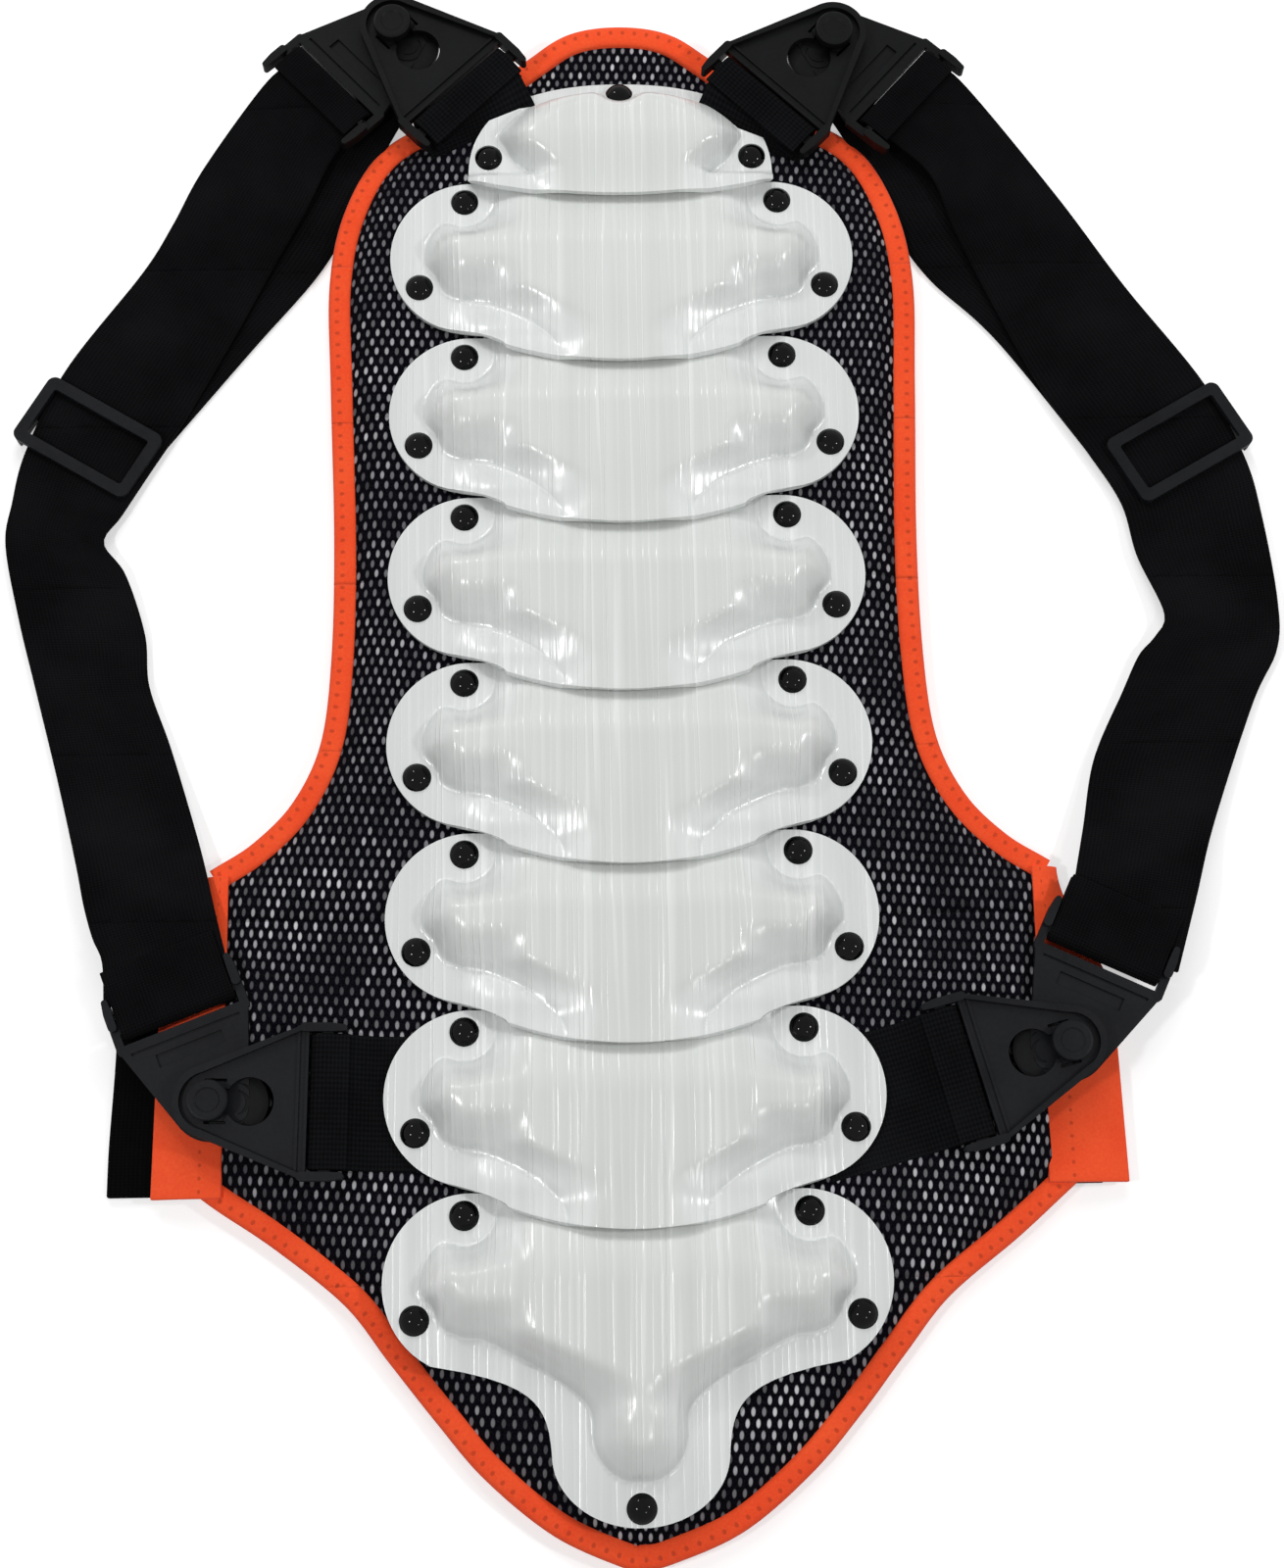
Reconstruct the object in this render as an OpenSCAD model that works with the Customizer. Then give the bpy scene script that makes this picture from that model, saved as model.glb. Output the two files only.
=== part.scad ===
// Back protector: a flexible foam back panel with a column of overlapping
// moulded plates riveted down the spine, elastic shoulder straps with slide
// adjusters, keyhole buckles at shoulders and waist, and a waist belt.
// It lies on its back: +Z points away from the wearer, +Y to the neck.

/* [Spine plates] */
// Distance from one plate to the next along the spine
plate_pitch = 58; // [56:0.5:60]
// Full width of a spine plate across its two lobes
plate_w = 160; // [154:1:166]
// Wall of the moulded plates
plate_wall = 2.2; // [1.6:0.1:2.4]
// Height of a plate's hollow crown above its rim
crown_h = 11.5; // [10.5:0.5:14]
// Height of the dome on each lobe
lobe_dome_h = 10.5; // [8:0.5:10.5]
// Width of the flat rim around a lobe
rim_w = 11.5; // [10:0.5:12.5]
// Half width of the tongue that laps over the next plate
tongue_hw = 40; // [36:1:43]
// How far the tongue reaches past the flex line below the plate
tongue_lap = 13.5; // [10:0.5:15]
// Length of the tail on the lowest plate, below its flex line
tail_len = 45; // [40:1:50]

/* [Rivets] */
// Diameter of a rivet's domed head
rivet_head_d = 9.4; // [8:0.2:10]
// Height of a rivet's domed head
rivet_head_h = 2.6; // [2:0.1:3.2]
// Diameter of a rivet's shank
rivet_shank_d = 4; // [3:0.2:5]
// Diameter of the washer that backs a rivet
rivet_washer_d = 10; // [8:0.5:11]

/* [Back panel] */
// Thickness of the foam panel
pad_t = 10; // [9:0.5:12]
// Thickness of the panel above the top plate, where the foam runs out
neck_t = 4.2; // [3.5:0.1:5]
// Width of the bound edge
binding_w = 7; // [5:0.5:8]
// Thickness of the bound edge
binding_t = 6; // [4:0.5:7]
// Width of the reinforced tabs at the waist
tab_w = 21; // [16:1:24]

/* [Straps] */
// Width of the elastic shoulder straps
strap_w = 38; // [36:0.5:38]
// Thickness of a strap
strap_t = 2; // [1.6:0.1:2.2]
// Width of the webbing across the waist
waist_web_w = 43; // [38:0.5:43]
// Thickness of the webbing
web_t = 2; // [1.6:0.1:2.2]
// Thickness of the folded waist belt under the panel
belt_t = 2.4; // [2:0.1:2.6]

/* [Buckles] */
// Thickness of the buckle plates
buckle_t = 2.6; // [2.2:0.1:2.8]
// Height of the stiffening rim on the buckle plates
buckle_rim_h = 2; // [1.5:0.1:2.4]
// Diameter of the stud's shank
stud_d = 7.4; // [6.4:0.2:7.8]
// Diameter of the stud's head
stud_head_d = 13; // [12:0.2:14]
// Distance from the keyhole's narrow end to its wide end
keyhole_len = 12.7; // [12.3:0.1:13.5]
// Radius of the plates around the stud
apex_r = 11.5; // [10.5:0.5:13]

/* [Adjusters] */
// Length of a slide adjuster along its strap
adjuster_len = 26; // [22:1:26]
// Thickness of a slide adjuster's frame bars
adjuster_t = 2.2; // [1.8:0.1:2.8]

/* [Clearances] */
// Gap between neighbouring panel sections at a flex line
panel_gap = 0.3; // [0.2:0.1:0.5]
// Gap under the riveted plates and around soft parts
seat_gap = 0.1; // [0.05:0.05:0.3]
// Gap between sliding or swivelling plastic parts
slide_gap = 0.3; // [0.25:0.05:0.5]
// Radial gap of a rivet's shank in its holes
hole_gap = 0.2; // [0.1:0.05:0.4]

/* [Hidden] */
$fn = 48;
tiny = 0.01;
far = 400;

// Spine: section 7 is centred on the origin, a flex line lies between sections
sections = 8;
root_section = 7;
function mid_y(k) = (root_section - k) * plate_pitch;
function flex_y(k) = mid_y(k) - plate_pitch / 2;
function section_top(k) = k == 1 ? far : mid_y(k) + plate_pitch / 2 - panel_gap / 2;
function section_bottom(k) = k == sections ? -far : flex_y(k) + panel_gap / 2;

// Plate forms, in a frame centred on the plate's own section
lobe_gap = 2;
lobe_r = (plate_pitch - lobe_gap) / 2;
lobe_x = plate_w / 2 - lobe_r;
flare_y = -lobe_r * 0.964;
flare_hw = lobe_x + sqrt(pow(lobe_r, 2) - pow(flare_y, 2));
corner_y = -plate_pitch / 2 - 6;
// Makes the tongue's side leave the lobe without a corner
flare_power = -flare_y / (flare_hw - lobe_x) * (flare_y - corner_y) / (flare_hw - tongue_hw);
tail_flare_y = -lobe_r * 0.89;
tail_flare_hw = lobe_x + sqrt(pow(lobe_r, 2) - pow(tail_flare_y, 2));
tongue_sag = tongue_lap - 6;
tail_hw = 27;
tail_flare = 6;
tail_neck_y = -52;
tail_y = -plate_pitch / 2 - tail_len;
spine_crown_hw = 46;
tongue_crown_hw = 24;
tongue_crown_y = -38;
tongue_spread = 24;
tail_crown_hw = 16.5;
tail_crown_y = -46;
tail_spread_y = -42;
tail_spread = 28;
crown_lean = 0.8;
crown_blend = 4;
land_blend = 3;
top_hw = 53;
top_y = -27;
top_rise = 38.4;
top_corner_y = -31;
top_sag = 7;
top_power = 2.2;
top_rim_w = 4.5;
top_waist = 22;
upper_rivet = [lobe_x + 2.35, 21];
lower_rivet = [lobe_x + 17.9, -11];
tail_rivet = [0, tail_y + 5.7];
side_rivet = [top_hw - 7, -20];
neck_rivet = [0, 6.5];
// Keeps the neck hole's edge off the row of corners along the plate's middle
neck_hole_shift = 0.05;
upper_land = 9.2;
lower_land = 9.5;
land_lean = 1.25;
crown_start = 3;
crown_slope = 28;
// Width of the flank from the crown's foot to its flat top, and of a dome's
crown_run = 13.5;
top_run = 10.5;
dome_run = 14;
lap_gap = 0.6;
neck_slope_y = -1;
neck_slope = 25;
// Height of the next plate's crown under a point y of the tongue above it
function crown_under(y) = crown_start
    + (crown_h - crown_start) * ease((lobe_r - y - plate_pitch) / crown_slope);
function lap_rise(y) = crown_under(y) + plate_wall + lap_gap;
tip_over = 1.2;
rim_climb_y = -13;
tip_start_y = -14;
tip_run = 24;
tail_fall = 0.3;
neck_drop = pad_t - neck_t;
neck_end_y = neck_slope_y + neck_drop / tan(neck_slope);

// Levels above the floor
plate_z = pad_t + seat_gap;
web_z = pad_t - web_t - seat_gap;
web_turn = 12;
shoulder_web_l = 36;
waist_web_l = 60;
washer_t = 1;
washer_z = 3.2;
strap_z = 1.6;
stud_plate_z = pad_t + slide_gap + seat_gap;
keyhole_z = stud_plate_z + buckle_t + slide_gap;
stud_head_z = keyhole_z + buckle_t + 1.1;
stud_head_h = 3.3;
pad7_z = belt_t + slide_gap;

// Folded waist belt: its end beside the left tab, its other end under the panel
belt_reach = 168;
belt_hidden_x = 150;
belt_fold = 13;

// Buckles: stud place, direction of the keyhole plate, direction of the stud plate
waist_left = [-134.6, -0.3, -1, 111];
waist_right = [139.1, 14.6, 195, 65];
shoulder_left = [-79.5, 377.2, -46, -137];
shoulder_right = [75.9, 373.3, -134, -42];
base_u = 31;
base_hw = waist_web_w / 2 + 3.4;
slot_w = 4;
bar_w = 3.6;
prong_u = 43;
hem_u = base_u + slot_w + bar_w + 0.6;
hem_l = 4;
stud_base_u = 27;
stud_base_hw = strap_w / 2 + 3.2;
stud_prong_u = 43;
strap_end_u = stud_base_u + slot_w + bar_w + 0.6;
strap_end_r = 50;

buckle_rim_w = 2.2;
ear_r = 1.4;
rib_w = 0.9;
rib_h = 0.7;
recess_depth = 0.8;
barb_h = 0.7;
// Barb beside the keyhole's neck: [distance from the stud, distance from the neck's side]
barb = [[1.5, 0.6], [5.5, 0.1], [4.2, 2.6], [0.5, 3.4]];

// Adjusters: place of the middle and lean of the strap
adjuster_left_at = [-183.2, 228, -31];
adjuster_right_at = [191, 222.5, 29.7];
adjuster_hw = strap_w / 2 + 0.6;
rail_w = 3.2;
frame_bar = 4;

// Edge of the panel from the neck to the waist, right side: [x, y]
panel_upper = [
    [0, 383.5], [17, 381], [32, 371], [56, 352], [83.5, 337], [96.5, 314], [101.5, 285],
    [100.6, 245], [98.7, 190], [99, 148], [103, 118], [113, 97], [131, 81.5], [140, 73]
];
// Outer edge of the waist tabs
tab_low_y = -29;
tab_top_y = 60;
tab_corners = [[150, 29], [156, tab_low_y + 0.1], [156, tab_low_y]];
// Edge of the panel from the waist to its lowest point, right side
panel_lower = [
    [137, tab_low_y], [121, -43], [98, -61], [82, -79], [67.5, -97.5], [52.5, -115], [31.7, -132.5],
    [8, -142], [0, -143.5]
];

// Strap courses, one row per height: [y, middle x, breadth in strap widths, underside z]
left_strap = [
    [349, -115, 1, 10.6], [326, -123.2, 1.25, 9.2], [312, -129.2, 1.358, 7],
    [290, -141.5, 1.342, 1.6], [261, -163.4, 1.168, 1.6], [224, -185.6, 1.168, 1.6],
    [205, -192.4, 0.926, 1.6], [197, -190.5, 1.026, 1.6], [190, -193.5, 0.868, 1.6],
    [179, -188, 1.026, 1.6], [164, -183.4, 1.074, 1.6], [140, -179.3, 0.992, 1.6],
    [120, -172.7, 1.089, 1.6], [98.4, -166.5, 1.132, 2.6], [83, -163, 1.105, 6.5],
    [55, -156, 1.105, 10.6], [30, -149, 1.105, 10.6]
];
right_strap = [
    [349, 110.5, 1.132, 10.6], [326, 122.5, 1.289, 9.2], [312, 129.9, 1.397, 7],
    [290, 142.5, 1.553, 1.6], [261, 164.9, 1.366, 1.6], [243, 176.1, 1.321, 1.6],
    [234, 184.4, 1.15, 1.6], [222, 191.2, 1.15, 1.6], [200, 199.5, 0.921, 1.6],
    [197, 198.8, 0.987, 1.6], [187, 196, 1.211, 1.6], [164, 201.4, 1.047, 1.6],
    [153.5, 200.5, 1.026, 1.6], [149, 195.8, 1.197, 1.6], [130, 187.7, 1.195, 1.6],
    [111, 178.7, 1.247, 1.6], [92, 172.4, 1.155, 4.2], [76, 168, 1.079, 8],
    [60, 162.2, 1.092, 10.6], [40, 156, 1.158, 10.6]
];
// Height where the straps of one section end and the next begin
function strap_cut(k) = k == 3 ? flex_y(k) - 6 : flex_y(k);

function ease(t) = let(c = min(1, max(0, t))) c * c * (3 - 2 * c);
function swell(t) = sin(90 * min(1, max(0, t)));
function soft_max(a, b, k) = max(a, b) + pow(max(k - abs(a - b), 0), 2) / (4 * max(k, tiny));
function soft_min(a, b, k) = -soft_max(-a, -b, k);
function soft_join(a, b, k) = soft_max(a, b, min(k, max(a, b, tiny)) * min(1, 4 * min(a, b) / k));
function side(p, s) = [s * p[0], p[1]];

// Catmull-Rom curve through the points p, n steps between two points
function curve_point(a, b, c, d, t) = 0.5 * (2 * b + (c - a) * t
    + (2 * a - 5 * b + 4 * c - d) * t * t + (3 * b - a - 3 * c + d) * t * t * t);
function curve(p, n = 4) = let(e = len(p) - 1) concat(
    [for (i = [0:e - 1], j = [0:n - 1])
        curve_point(p[max(i - 1, 0)], p[i], p[i + 1], p[min(i + 2, e)], j / n)],
    [p[e]]);

// The curve moved inward by w
function inset(p, w) = let(e = len(p) - 1) [for (i = [0:e])
    let(d = p[min(i + 1, e)] - p[max(i - 1, 0)], n = [d[1], -d[0]] / norm(d)) p[i] + n * w];

// --- spine plates ---------------------------------------------------------
// Rows run down the plate, columns across it; a row sags into the tongue.

lobe_rows = [for (a = [0:13.8:152]) lobe_r * cos(a)];
spine_rows = concat(lobe_rows, [for (i = [0:4]) flare_y + (corner_y - flare_y) * i / 4]);
tail_rows = concat(lobe_rows, [for (i = [1:4]) tail_flare_y + (tail_neck_y - tail_flare_y) * i / 4],
    [for (a = [15:15:75]) tail_neck_y - (tail_neck_y - tail_y) * sin(a)], [tail_y + 0.15]);
top_rows = concat([for (a = [4:9:40]) top_y + top_rise * cos(a)], [neck_slope_y],
    [for (a = [58:9:85]) top_y + top_rise * cos(a)], [top_y + 1.8, top_y, top_corner_y]);
columns = [0, 0.22, 0.4, 0.5, 0.58, 0.66, 0.73, 0.8, 0.87, 0.93, 1];

function spine_hw(y) = y > flare_y ? lobe_x + sqrt(max(0, pow(lobe_r, 2) - y * y))
    : tongue_hw + (flare_hw - tongue_hw)
        * pow(max(0, 1 - (flare_y - y) / (flare_y - corner_y)), flare_power);
function tail_side_hw(y) = tail_hw
    + (tail_flare_hw - tail_hw) * exp((y - tail_flare_y) / tail_flare);
function tail_end_hw(y) = tail_side_hw(tail_neck_y)
    * sqrt(max(0, 1 - pow((tail_neck_y - y) / (tail_neck_y - tail_y), 2)));
function plate8_hw(y) = y > tail_flare_y ? spine_hw(y)
    : y > tail_neck_y ? tail_side_hw(y) : tail_end_hw(y);
function plate1_hw(y) = y < top_y ? top_hw
    : top_hw * pow(max(0, 1 - pow((y - top_y) / top_rise, top_power)), 1 / top_power);
function plate_hw(k, y) = k == 1 ? plate1_hw(y) : k == sections ? plate8_hw(y) : spine_hw(y);

function row_sag(k, y) = k == 1 ? top_sag * ease((-5 - y) / 26)
    : k == sections ? 0 : tongue_sag * ease((10 - y) / (10 - corner_y));

// Distances inside the foot of a dome and of the crown
function lobe_depth(x, y) = lobe_r - rim_w - norm([max(abs(x) - lobe_x, 0), y]);
function flank_depth(x, y, low_hw, low_y, spread) = let(t = min(1, max(0, (y - low_y) / spread)),
        grown = spine_crown_hw - low_hw)
    (low_hw + grown * ease(t) - abs(x)) / norm([1, 6 * t * (1 - t) * grown / spread]);
function spine_depth(k, x, y) = k < sections
    ? flank_depth(x, y, tongue_crown_hw, tongue_crown_y, tongue_spread)
    : y > tail_crown_y ? flank_depth(x, y, tail_crown_hw, tail_spread_y, tail_spread)
    : tail_crown_hw - norm([x, y - tail_crown_y]);
function top_depth(x, y) = let(body = y < top_y ? top_hw - top_rim_w - abs(x)
        : (1 - pow(pow(abs(x) / top_hw, top_power)
            + pow(abs(y - top_y) / top_rise, top_power), 1 / top_power)) * top_rise - top_rim_w,
        waist = top_hw - 1 - top_waist * (1 - ease((y - top_corner_y) / tongue_spread)))
    soft_min(body, crown_lean * (waist - abs(x)), land_blend);
function off_land(depth, x, y, place, land) = soft_min(depth,
    land_lean * (norm([abs(x) - place[0], y - place[1]]) - land), land_blend);
function off_lands(k, depth, x, y) = let(
        upper = off_land(depth, x, y, upper_rivet, upper_land),
        lower = off_land(upper, x, y, lower_rivet, lower_land))
    k == sections ? off_land(lower, x, y, tail_rivet, lower_land) : lower;

// Share of the crown's height: a dome on each lobe runs into a flat body
function crown_form(k, x, y) = k == 1
    ? swell(off_land(off_land(top_depth(x, y), x, y, side_rivet, lower_land),
        x, y, neck_rivet, lower_land) / top_run)
    : min(1, soft_join(lobe_dome_h * swell(off_lands(k, lobe_depth(x, y), x, y) / dome_run),
        crown_h * swell(off_lands(k, spine_depth(k, x, y), x, y) / crown_run), crown_blend)
        / crown_h);

// The crown starts low, under the tongue above it, and ends just above the next plate
function crown_high(k, y) = let(tip = ease((tip_start_y - y) / tip_run),
        high = k == 1 ? crown_h
            : crown_start + (crown_h - crown_start) * ease((lobe_r - y) / crown_slope))
    k == sections ? (1 - tail_fall * ease((-30 - y) / 35)) * high
    : high * (1 - tip) + (lap_rise(k == 1 ? top_corner_y - top_sag : corner_y - tongue_sag)
        + tip_over) * tip;

// Height of the rim: it climbs over the next plate at the tongue
function rim_rise(k, x, y) = k == sections ? 0
    : k == 1 ? lap_rise(y) * ease((top_y + 1.5 - y) / 4.5) * ease((top_hw + 9 - abs(x)) / 14)
    : lap_rise(y) * ease((lower_rivet[0] - 4 - abs(x)) / 24)
        * ease((rim_climb_y - y) / (rim_climb_y + plate_pitch / 2 + 1));
function neck_fall(k, y) = k == 1 ? tan(neck_slope) * max(0, y - neck_slope_y) : 0;

function plate_top(k, x, y) = let(rise = rim_rise(k, x, y))
    plate_z + plate_wall + rise + (crown_high(k, y) - rise) * crown_form(k, x, y)
    - neck_fall(k, y);

function plate_grid(k, rows) = [for (y = rows) [for (i = [-10:10])
    let(f = sign(i) * columns[abs(i)], w = plate_hw(k, y), x = f * w,
        yy = y - row_sag(k, y) * (1 - f * f))
    [x, yy, plate_top(k, x, yy)]]];

// Closed shell between a grid of points and the same grid one wall lower
module shell(grid, wall) {
    rows = len(grid);
    cols = len(grid[0]);
    count = rows * cols;
    upper = [for (row = grid, p = row) p];
    lower = [for (p = upper) p - [0, 0, wall]];
    quads = [for (r = [0:rows - 2], c = [0:cols - 2])
        let(a = r * cols + c) [a, a + 1, a + cols + 1, a + cols]];
    top_faces = [for (q = quads, t = [[q[0], q[1], q[2]], [q[0], q[2], q[3]]]) t];
    bottom_faces = [for (t = top_faces) [t[2] + count, t[1] + count, t[0] + count]];
    rim = concat([for (c = [0:cols - 1]) c], [for (r = [1:rows - 1]) r * cols + cols - 1],
        [for (c = [cols - 2:-1:0]) (rows - 1) * cols + c], [for (r = [rows - 2:-1:1]) r * cols]);
    rim_faces = [for (i = [0:len(rim) - 1]) let(a = rim[i], b = rim[(i + 1) % len(rim)])
        each [[b, a, a + count], [b, a + count, b + count]]];
    polyhedron(concat(upper, lower), concat(top_faces, bottom_faces, rim_faces), convexity = 8);
}

function rivet_places(k) = k == 1
    ? [side(side_rivet, 1), side(side_rivet, -1)]
    : concat([for (s = [1, -1]) side(upper_rivet, s)], [for (s = [1, -1]) side(lower_rivet, s)],
        k == sections ? [tail_rivet] : []);

module at_rivets(k) {
    for (p = rivet_places(k)) translate([p[0], mid_y(k) + p[1], 0]) children();
}

module at_neck_rivet() {
    translate([0, mid_y(1) + neck_rivet[1], plate_z + plate_wall - neck_fall(1, neck_rivet[1])])
        rotate([-neck_slope, 0, 0]) children();
}

module plate(k) {
    rows = k == 1 ? top_rows : k == sections ? tail_rows : spine_rows;
    hole_d = rivet_shank_d + 2 * hole_gap;
    color("whitesmoke") difference() {
        translate([0, mid_y(k), 0]) shell(plate_grid(k, rows), plate_wall);
        at_rivets(k) translate([0, 0, pad_t - 1]) cylinder(d = hole_d, h = plate_wall + 3);
        if (k == 1) at_neck_rivet() translate([neck_hole_shift, 0, -plate_wall - 2])
            cylinder(d = hole_d, h = plate_wall + 5);
    }
}

// Rivet with its head's seat at z = 0 and its washer grip below
module rivet(grip) {
    cap_r = (pow(rivet_head_d / 2, 2) + pow(rivet_head_h, 2)) / (2 * rivet_head_h);
    intersection() {
        translate([0, 0, rivet_head_h - cap_r]) sphere(r = cap_r);
        cylinder(d = rivet_head_d + 1, h = rivet_head_h + 1);
    }
    translate([0, 0, -grip]) cylinder(d = rivet_shank_d, h = grip + tiny);
    translate([0, 0, -grip]) cylinder(d = rivet_washer_d, h = washer_t);
}

rivet_seat = plate_z + plate_wall + seat_gap;
neck_grip = 5;

module rivets(k) {
    color("black") {
        at_rivets(k) translate([0, 0, rivet_seat]) rivet(rivet_seat - washer_z);
        if (k == 1) at_neck_rivet() translate([0, 0, seat_gap]) rivet(neck_grip);
    }
}

// --- back panel -----------------------------------------------------------

upper_edge = curve(panel_upper);
lower_edge = curve(panel_lower);
outer_edge = concat(upper_edge, tab_corners, lower_edge);
tab_inner_x = tab_corners[1][0] - tab_w;
upper_inner = [for (p = inset(upper_edge, binding_w)) [min(p[0], tab_inner_x), p[1]]];
inner_edge = concat(upper_inner, [[tab_inner_x, tab_top_y], [tab_inner_x, tab_low_y]],
    [for (p = inset(lower_edge, binding_w)) if (p[1] < tab_low_y - 1) p]);

module both_sides(edge) {
    polygon(concat([for (p = edge) [max(p[0], 0), p[1]]],
        [for (i = [len(edge) - 1:-1:0]) if (edge[i][0] > 0) [-edge[i][0], edge[i][1]]]));
}

module section_band(k) {
    translate([-far, section_bottom(k)]) square([2 * far, section_top(k) - section_bottom(k)]);
}

module rivet_cuts(k, floor_z) {
    at_rivets(k) {
        cylinder(d = rivet_shank_d + 2 * hole_gap, h = pad_t + 1);
        translate([0, 0, floor_z - 1]) cylinder(d = rivet_washer_d + 2 * hole_gap,
            h = washer_z + washer_t + 1 + seat_gap - floor_z);
    }
}

module pad(k) {
    floor_z = k == root_section ? pad7_z : 0;
    color("dimgray") difference() {
        translate([0, 0, floor_z]) linear_extrude(pad_t - floor_z) intersection() {
            both_sides(inner_edge);
            section_band(k);
        }
        rivet_cuts(k, floor_z);
        if (k == 1) neck_cut();
        if (k == 1) {
            web_recess(shoulder_left, -web_turn, strap_w, shoulder_web_l);
            web_recess(shoulder_right, web_turn, strap_w, shoulder_web_l);
        }
        if (k == root_section) {
            web_recess(waist_left, 0, waist_web_w, waist_web_l);
            web_recess(waist_right, 0, waist_web_w, waist_web_l);
        }
    }
}

// The foam runs out towards the neck
module neck_cut() {
    y0 = mid_y(1) + neck_slope_y;
    y1 = mid_y(1) + neck_end_y;
    translate([-far / 2, 0, 0]) rotate([90, 0, 90]) linear_extrude(far)
        polygon([[y0, pad_t], [y0, pad_t + 2], [y1 + far, pad_t + 2],
            [y1 + far, neck_t], [y1, neck_t]]);
    at_neck_rivet() {
        translate([0, 0, -neck_grip - 4])
            cylinder(d = rivet_washer_d + 2 * hole_gap, h = 4 + washer_t + seat_gap);
        translate([0, 0, -neck_grip])
            cylinder(d = rivet_shank_d + 2 * hole_gap, h = neck_grip);
    }
}

module binding(k) {
    color("orangered") linear_extrude(binding_t) intersection() {
        difference() {
            both_sides(outer_edge);
            both_sides(inner_edge);
        }
        section_band(k);
    }
}

module side_tabs() {
    color("orangered") translate([0, 0, pad7_z]) linear_extrude(binding_t - pad7_z)
        intersection() {
            difference() {
                both_sides(outer_edge);
                both_sides(inner_edge);
            }
            section_band(root_section);
        }
}

module waist_belt() {
    half = plate_pitch / 2 - panel_gap;
    color("black") linear_extrude(belt_t) polygon([[2 - belt_reach, -half], [belt_hidden_x, -half],
        [belt_hidden_x, half], [belt_fold - belt_reach, half], [-belt_reach, half - 8]]);
}

// --- webbing --------------------------------------------------------------

// Flat strip from a buckle's bar, with a folded hem beside the bar
module web_strip(at, turn, w, l) {
    translate([at[0], at[1], 0]) rotate(at[2]) translate([hem_u, 0, 0]) {
        rotate(turn) translate([0, -w / 2, web_z]) cube([l, w, web_t]);
        translate([0, -w / 2, web_z]) cube([hem_l, w, keyhole_z + 1 - web_z]);
    }
}

// Recess that the strip and its hem lie in
module web_recess(at, turn, w, l) {
    cut_w = w + 2 * slide_gap;
    translate([at[0], at[1], web_z - seat_gap]) rotate(at[2]) translate([hem_u, 0, 0]) {
        rotate(turn) translate([-slide_gap, -cut_w / 2, 0])
            cube([l + 2 * slide_gap, cut_w, pad_t]);
        translate([-slide_gap, -cut_w / 2, 0]) cube([hem_l + 2 * slide_gap, cut_w, pad_t]);
    }
}

module section_slab(k) {
    translate([-far, section_bottom(k), 0])
        cube([2 * far, section_top(k) - section_bottom(k), far]);
}

// Room under and around the top plate
module top_plate_room() {
    edge = [for (y = top_rows) [plate1_hw(y) + 3 * seat_gap, y - row_sag(1, y)]];
    outline = concat(edge, [for (i = [len(edge) - 1:-1:0]) [-edge[i][0], edge[i][1]]]);
    translate([0, mid_y(1), plate_z - seat_gap / 2]) linear_extrude(far) polygon(outline);
    translate([0, mid_y(1), 0]) linear_extrude(far) intersection() {
        polygon(outline);
        translate([-far / 2, neck_slope_y - seat_gap]) square([far, far]);
    }
}

module shoulder_webbing() {
    color("black") difference() {
        intersection() {
            union() {
                web_strip(shoulder_left, -web_turn, strap_w, shoulder_web_l);
                web_strip(shoulder_right, web_turn, strap_w, shoulder_web_l);
            }
            section_slab(1);
        }
        at_rivets(1) cylinder(d = rivet_shank_d + 2 * hole_gap, h = pad_t + 1);
        top_plate_room();
    }
}

module waist_webbing() {
    color("black") difference() {
        intersection() {
            union() {
                web_strip(waist_left, 0, waist_web_w, waist_web_l);
                web_strip(waist_right, 0, waist_web_w, waist_web_l);
            }
            section_slab(root_section);
        }
        at_rivets(root_section) cylinder(d = rivet_shank_d + 2 * hole_gap, h = pad_t + 1);
    }
}

// --- shoulder straps ------------------------------------------------------

function column_of(rows, c) = [for (r = rows) [r[0], r[c]]];
function row_at(rows, y) = [y, lookup(y, column_of(rows, 1)), lookup(y, column_of(rows, 2)),
    lookup(y, column_of(rows, 3))];
function rows_between(rows, low, high) = concat([row_at(rows, high)],
    [for (r = rows) if (r[0] < high - 0.5 && r[0] > low + 0.5) r], [row_at(rows, low)]);

// Band with a level cross-section at each row's height
module band(rows) {
    count = len(rows);
    points = [for (r = rows) let(h = r[2] * strap_w / 2, a = r[1] - h, b = r[1] + h, z = r[3])
        each [[a, r[0], z], [b, r[0], z], [b, r[0], z + strap_t], [a, r[0], z + strap_t]]];
    quads = [for (i = [0:count - 2], j = [0:3])
        [4 * i + j, 4 * i + (j + 1) % 4, 4 * i + 4 + (j + 1) % 4, 4 * i + 4 + j]];
    sides = [for (q = quads) each [[q[0], q[1], q[2]], [q[0], q[2], q[3]]]];
    last = 4 * count - 4;
    ends = [[3, 2, 1], [3, 1, 0], [last, last + 1, last + 2], [last, last + 2, last + 3]];
    faces = concat(sides, ends);
    polyhedron(points, faces, convexity = 4);
}

module strap_piece(rows, k, top_buckle, low_buckle) {
    low = k == 6 ? rows[len(rows) - 1][0] : strap_cut(k) + panel_gap / 2;
    high = k == 2 ? rows[0][0] : strap_cut(k - 1) - panel_gap / 2;
    difference() {
        band(rows_between(rows, low, high));
        for (b = [top_buckle, low_buckle]) translate([b[0], b[1], 0])
            cylinder(r = strap_end_r + slide_gap, h = far, $fn = 96);
    }
}

module straps(k) {
    color("black") {
        strap_piece(left_strap, k, shoulder_left, waist_left);
        strap_piece(right_strap, k, shoulder_right, waist_right);
    }
}

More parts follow.
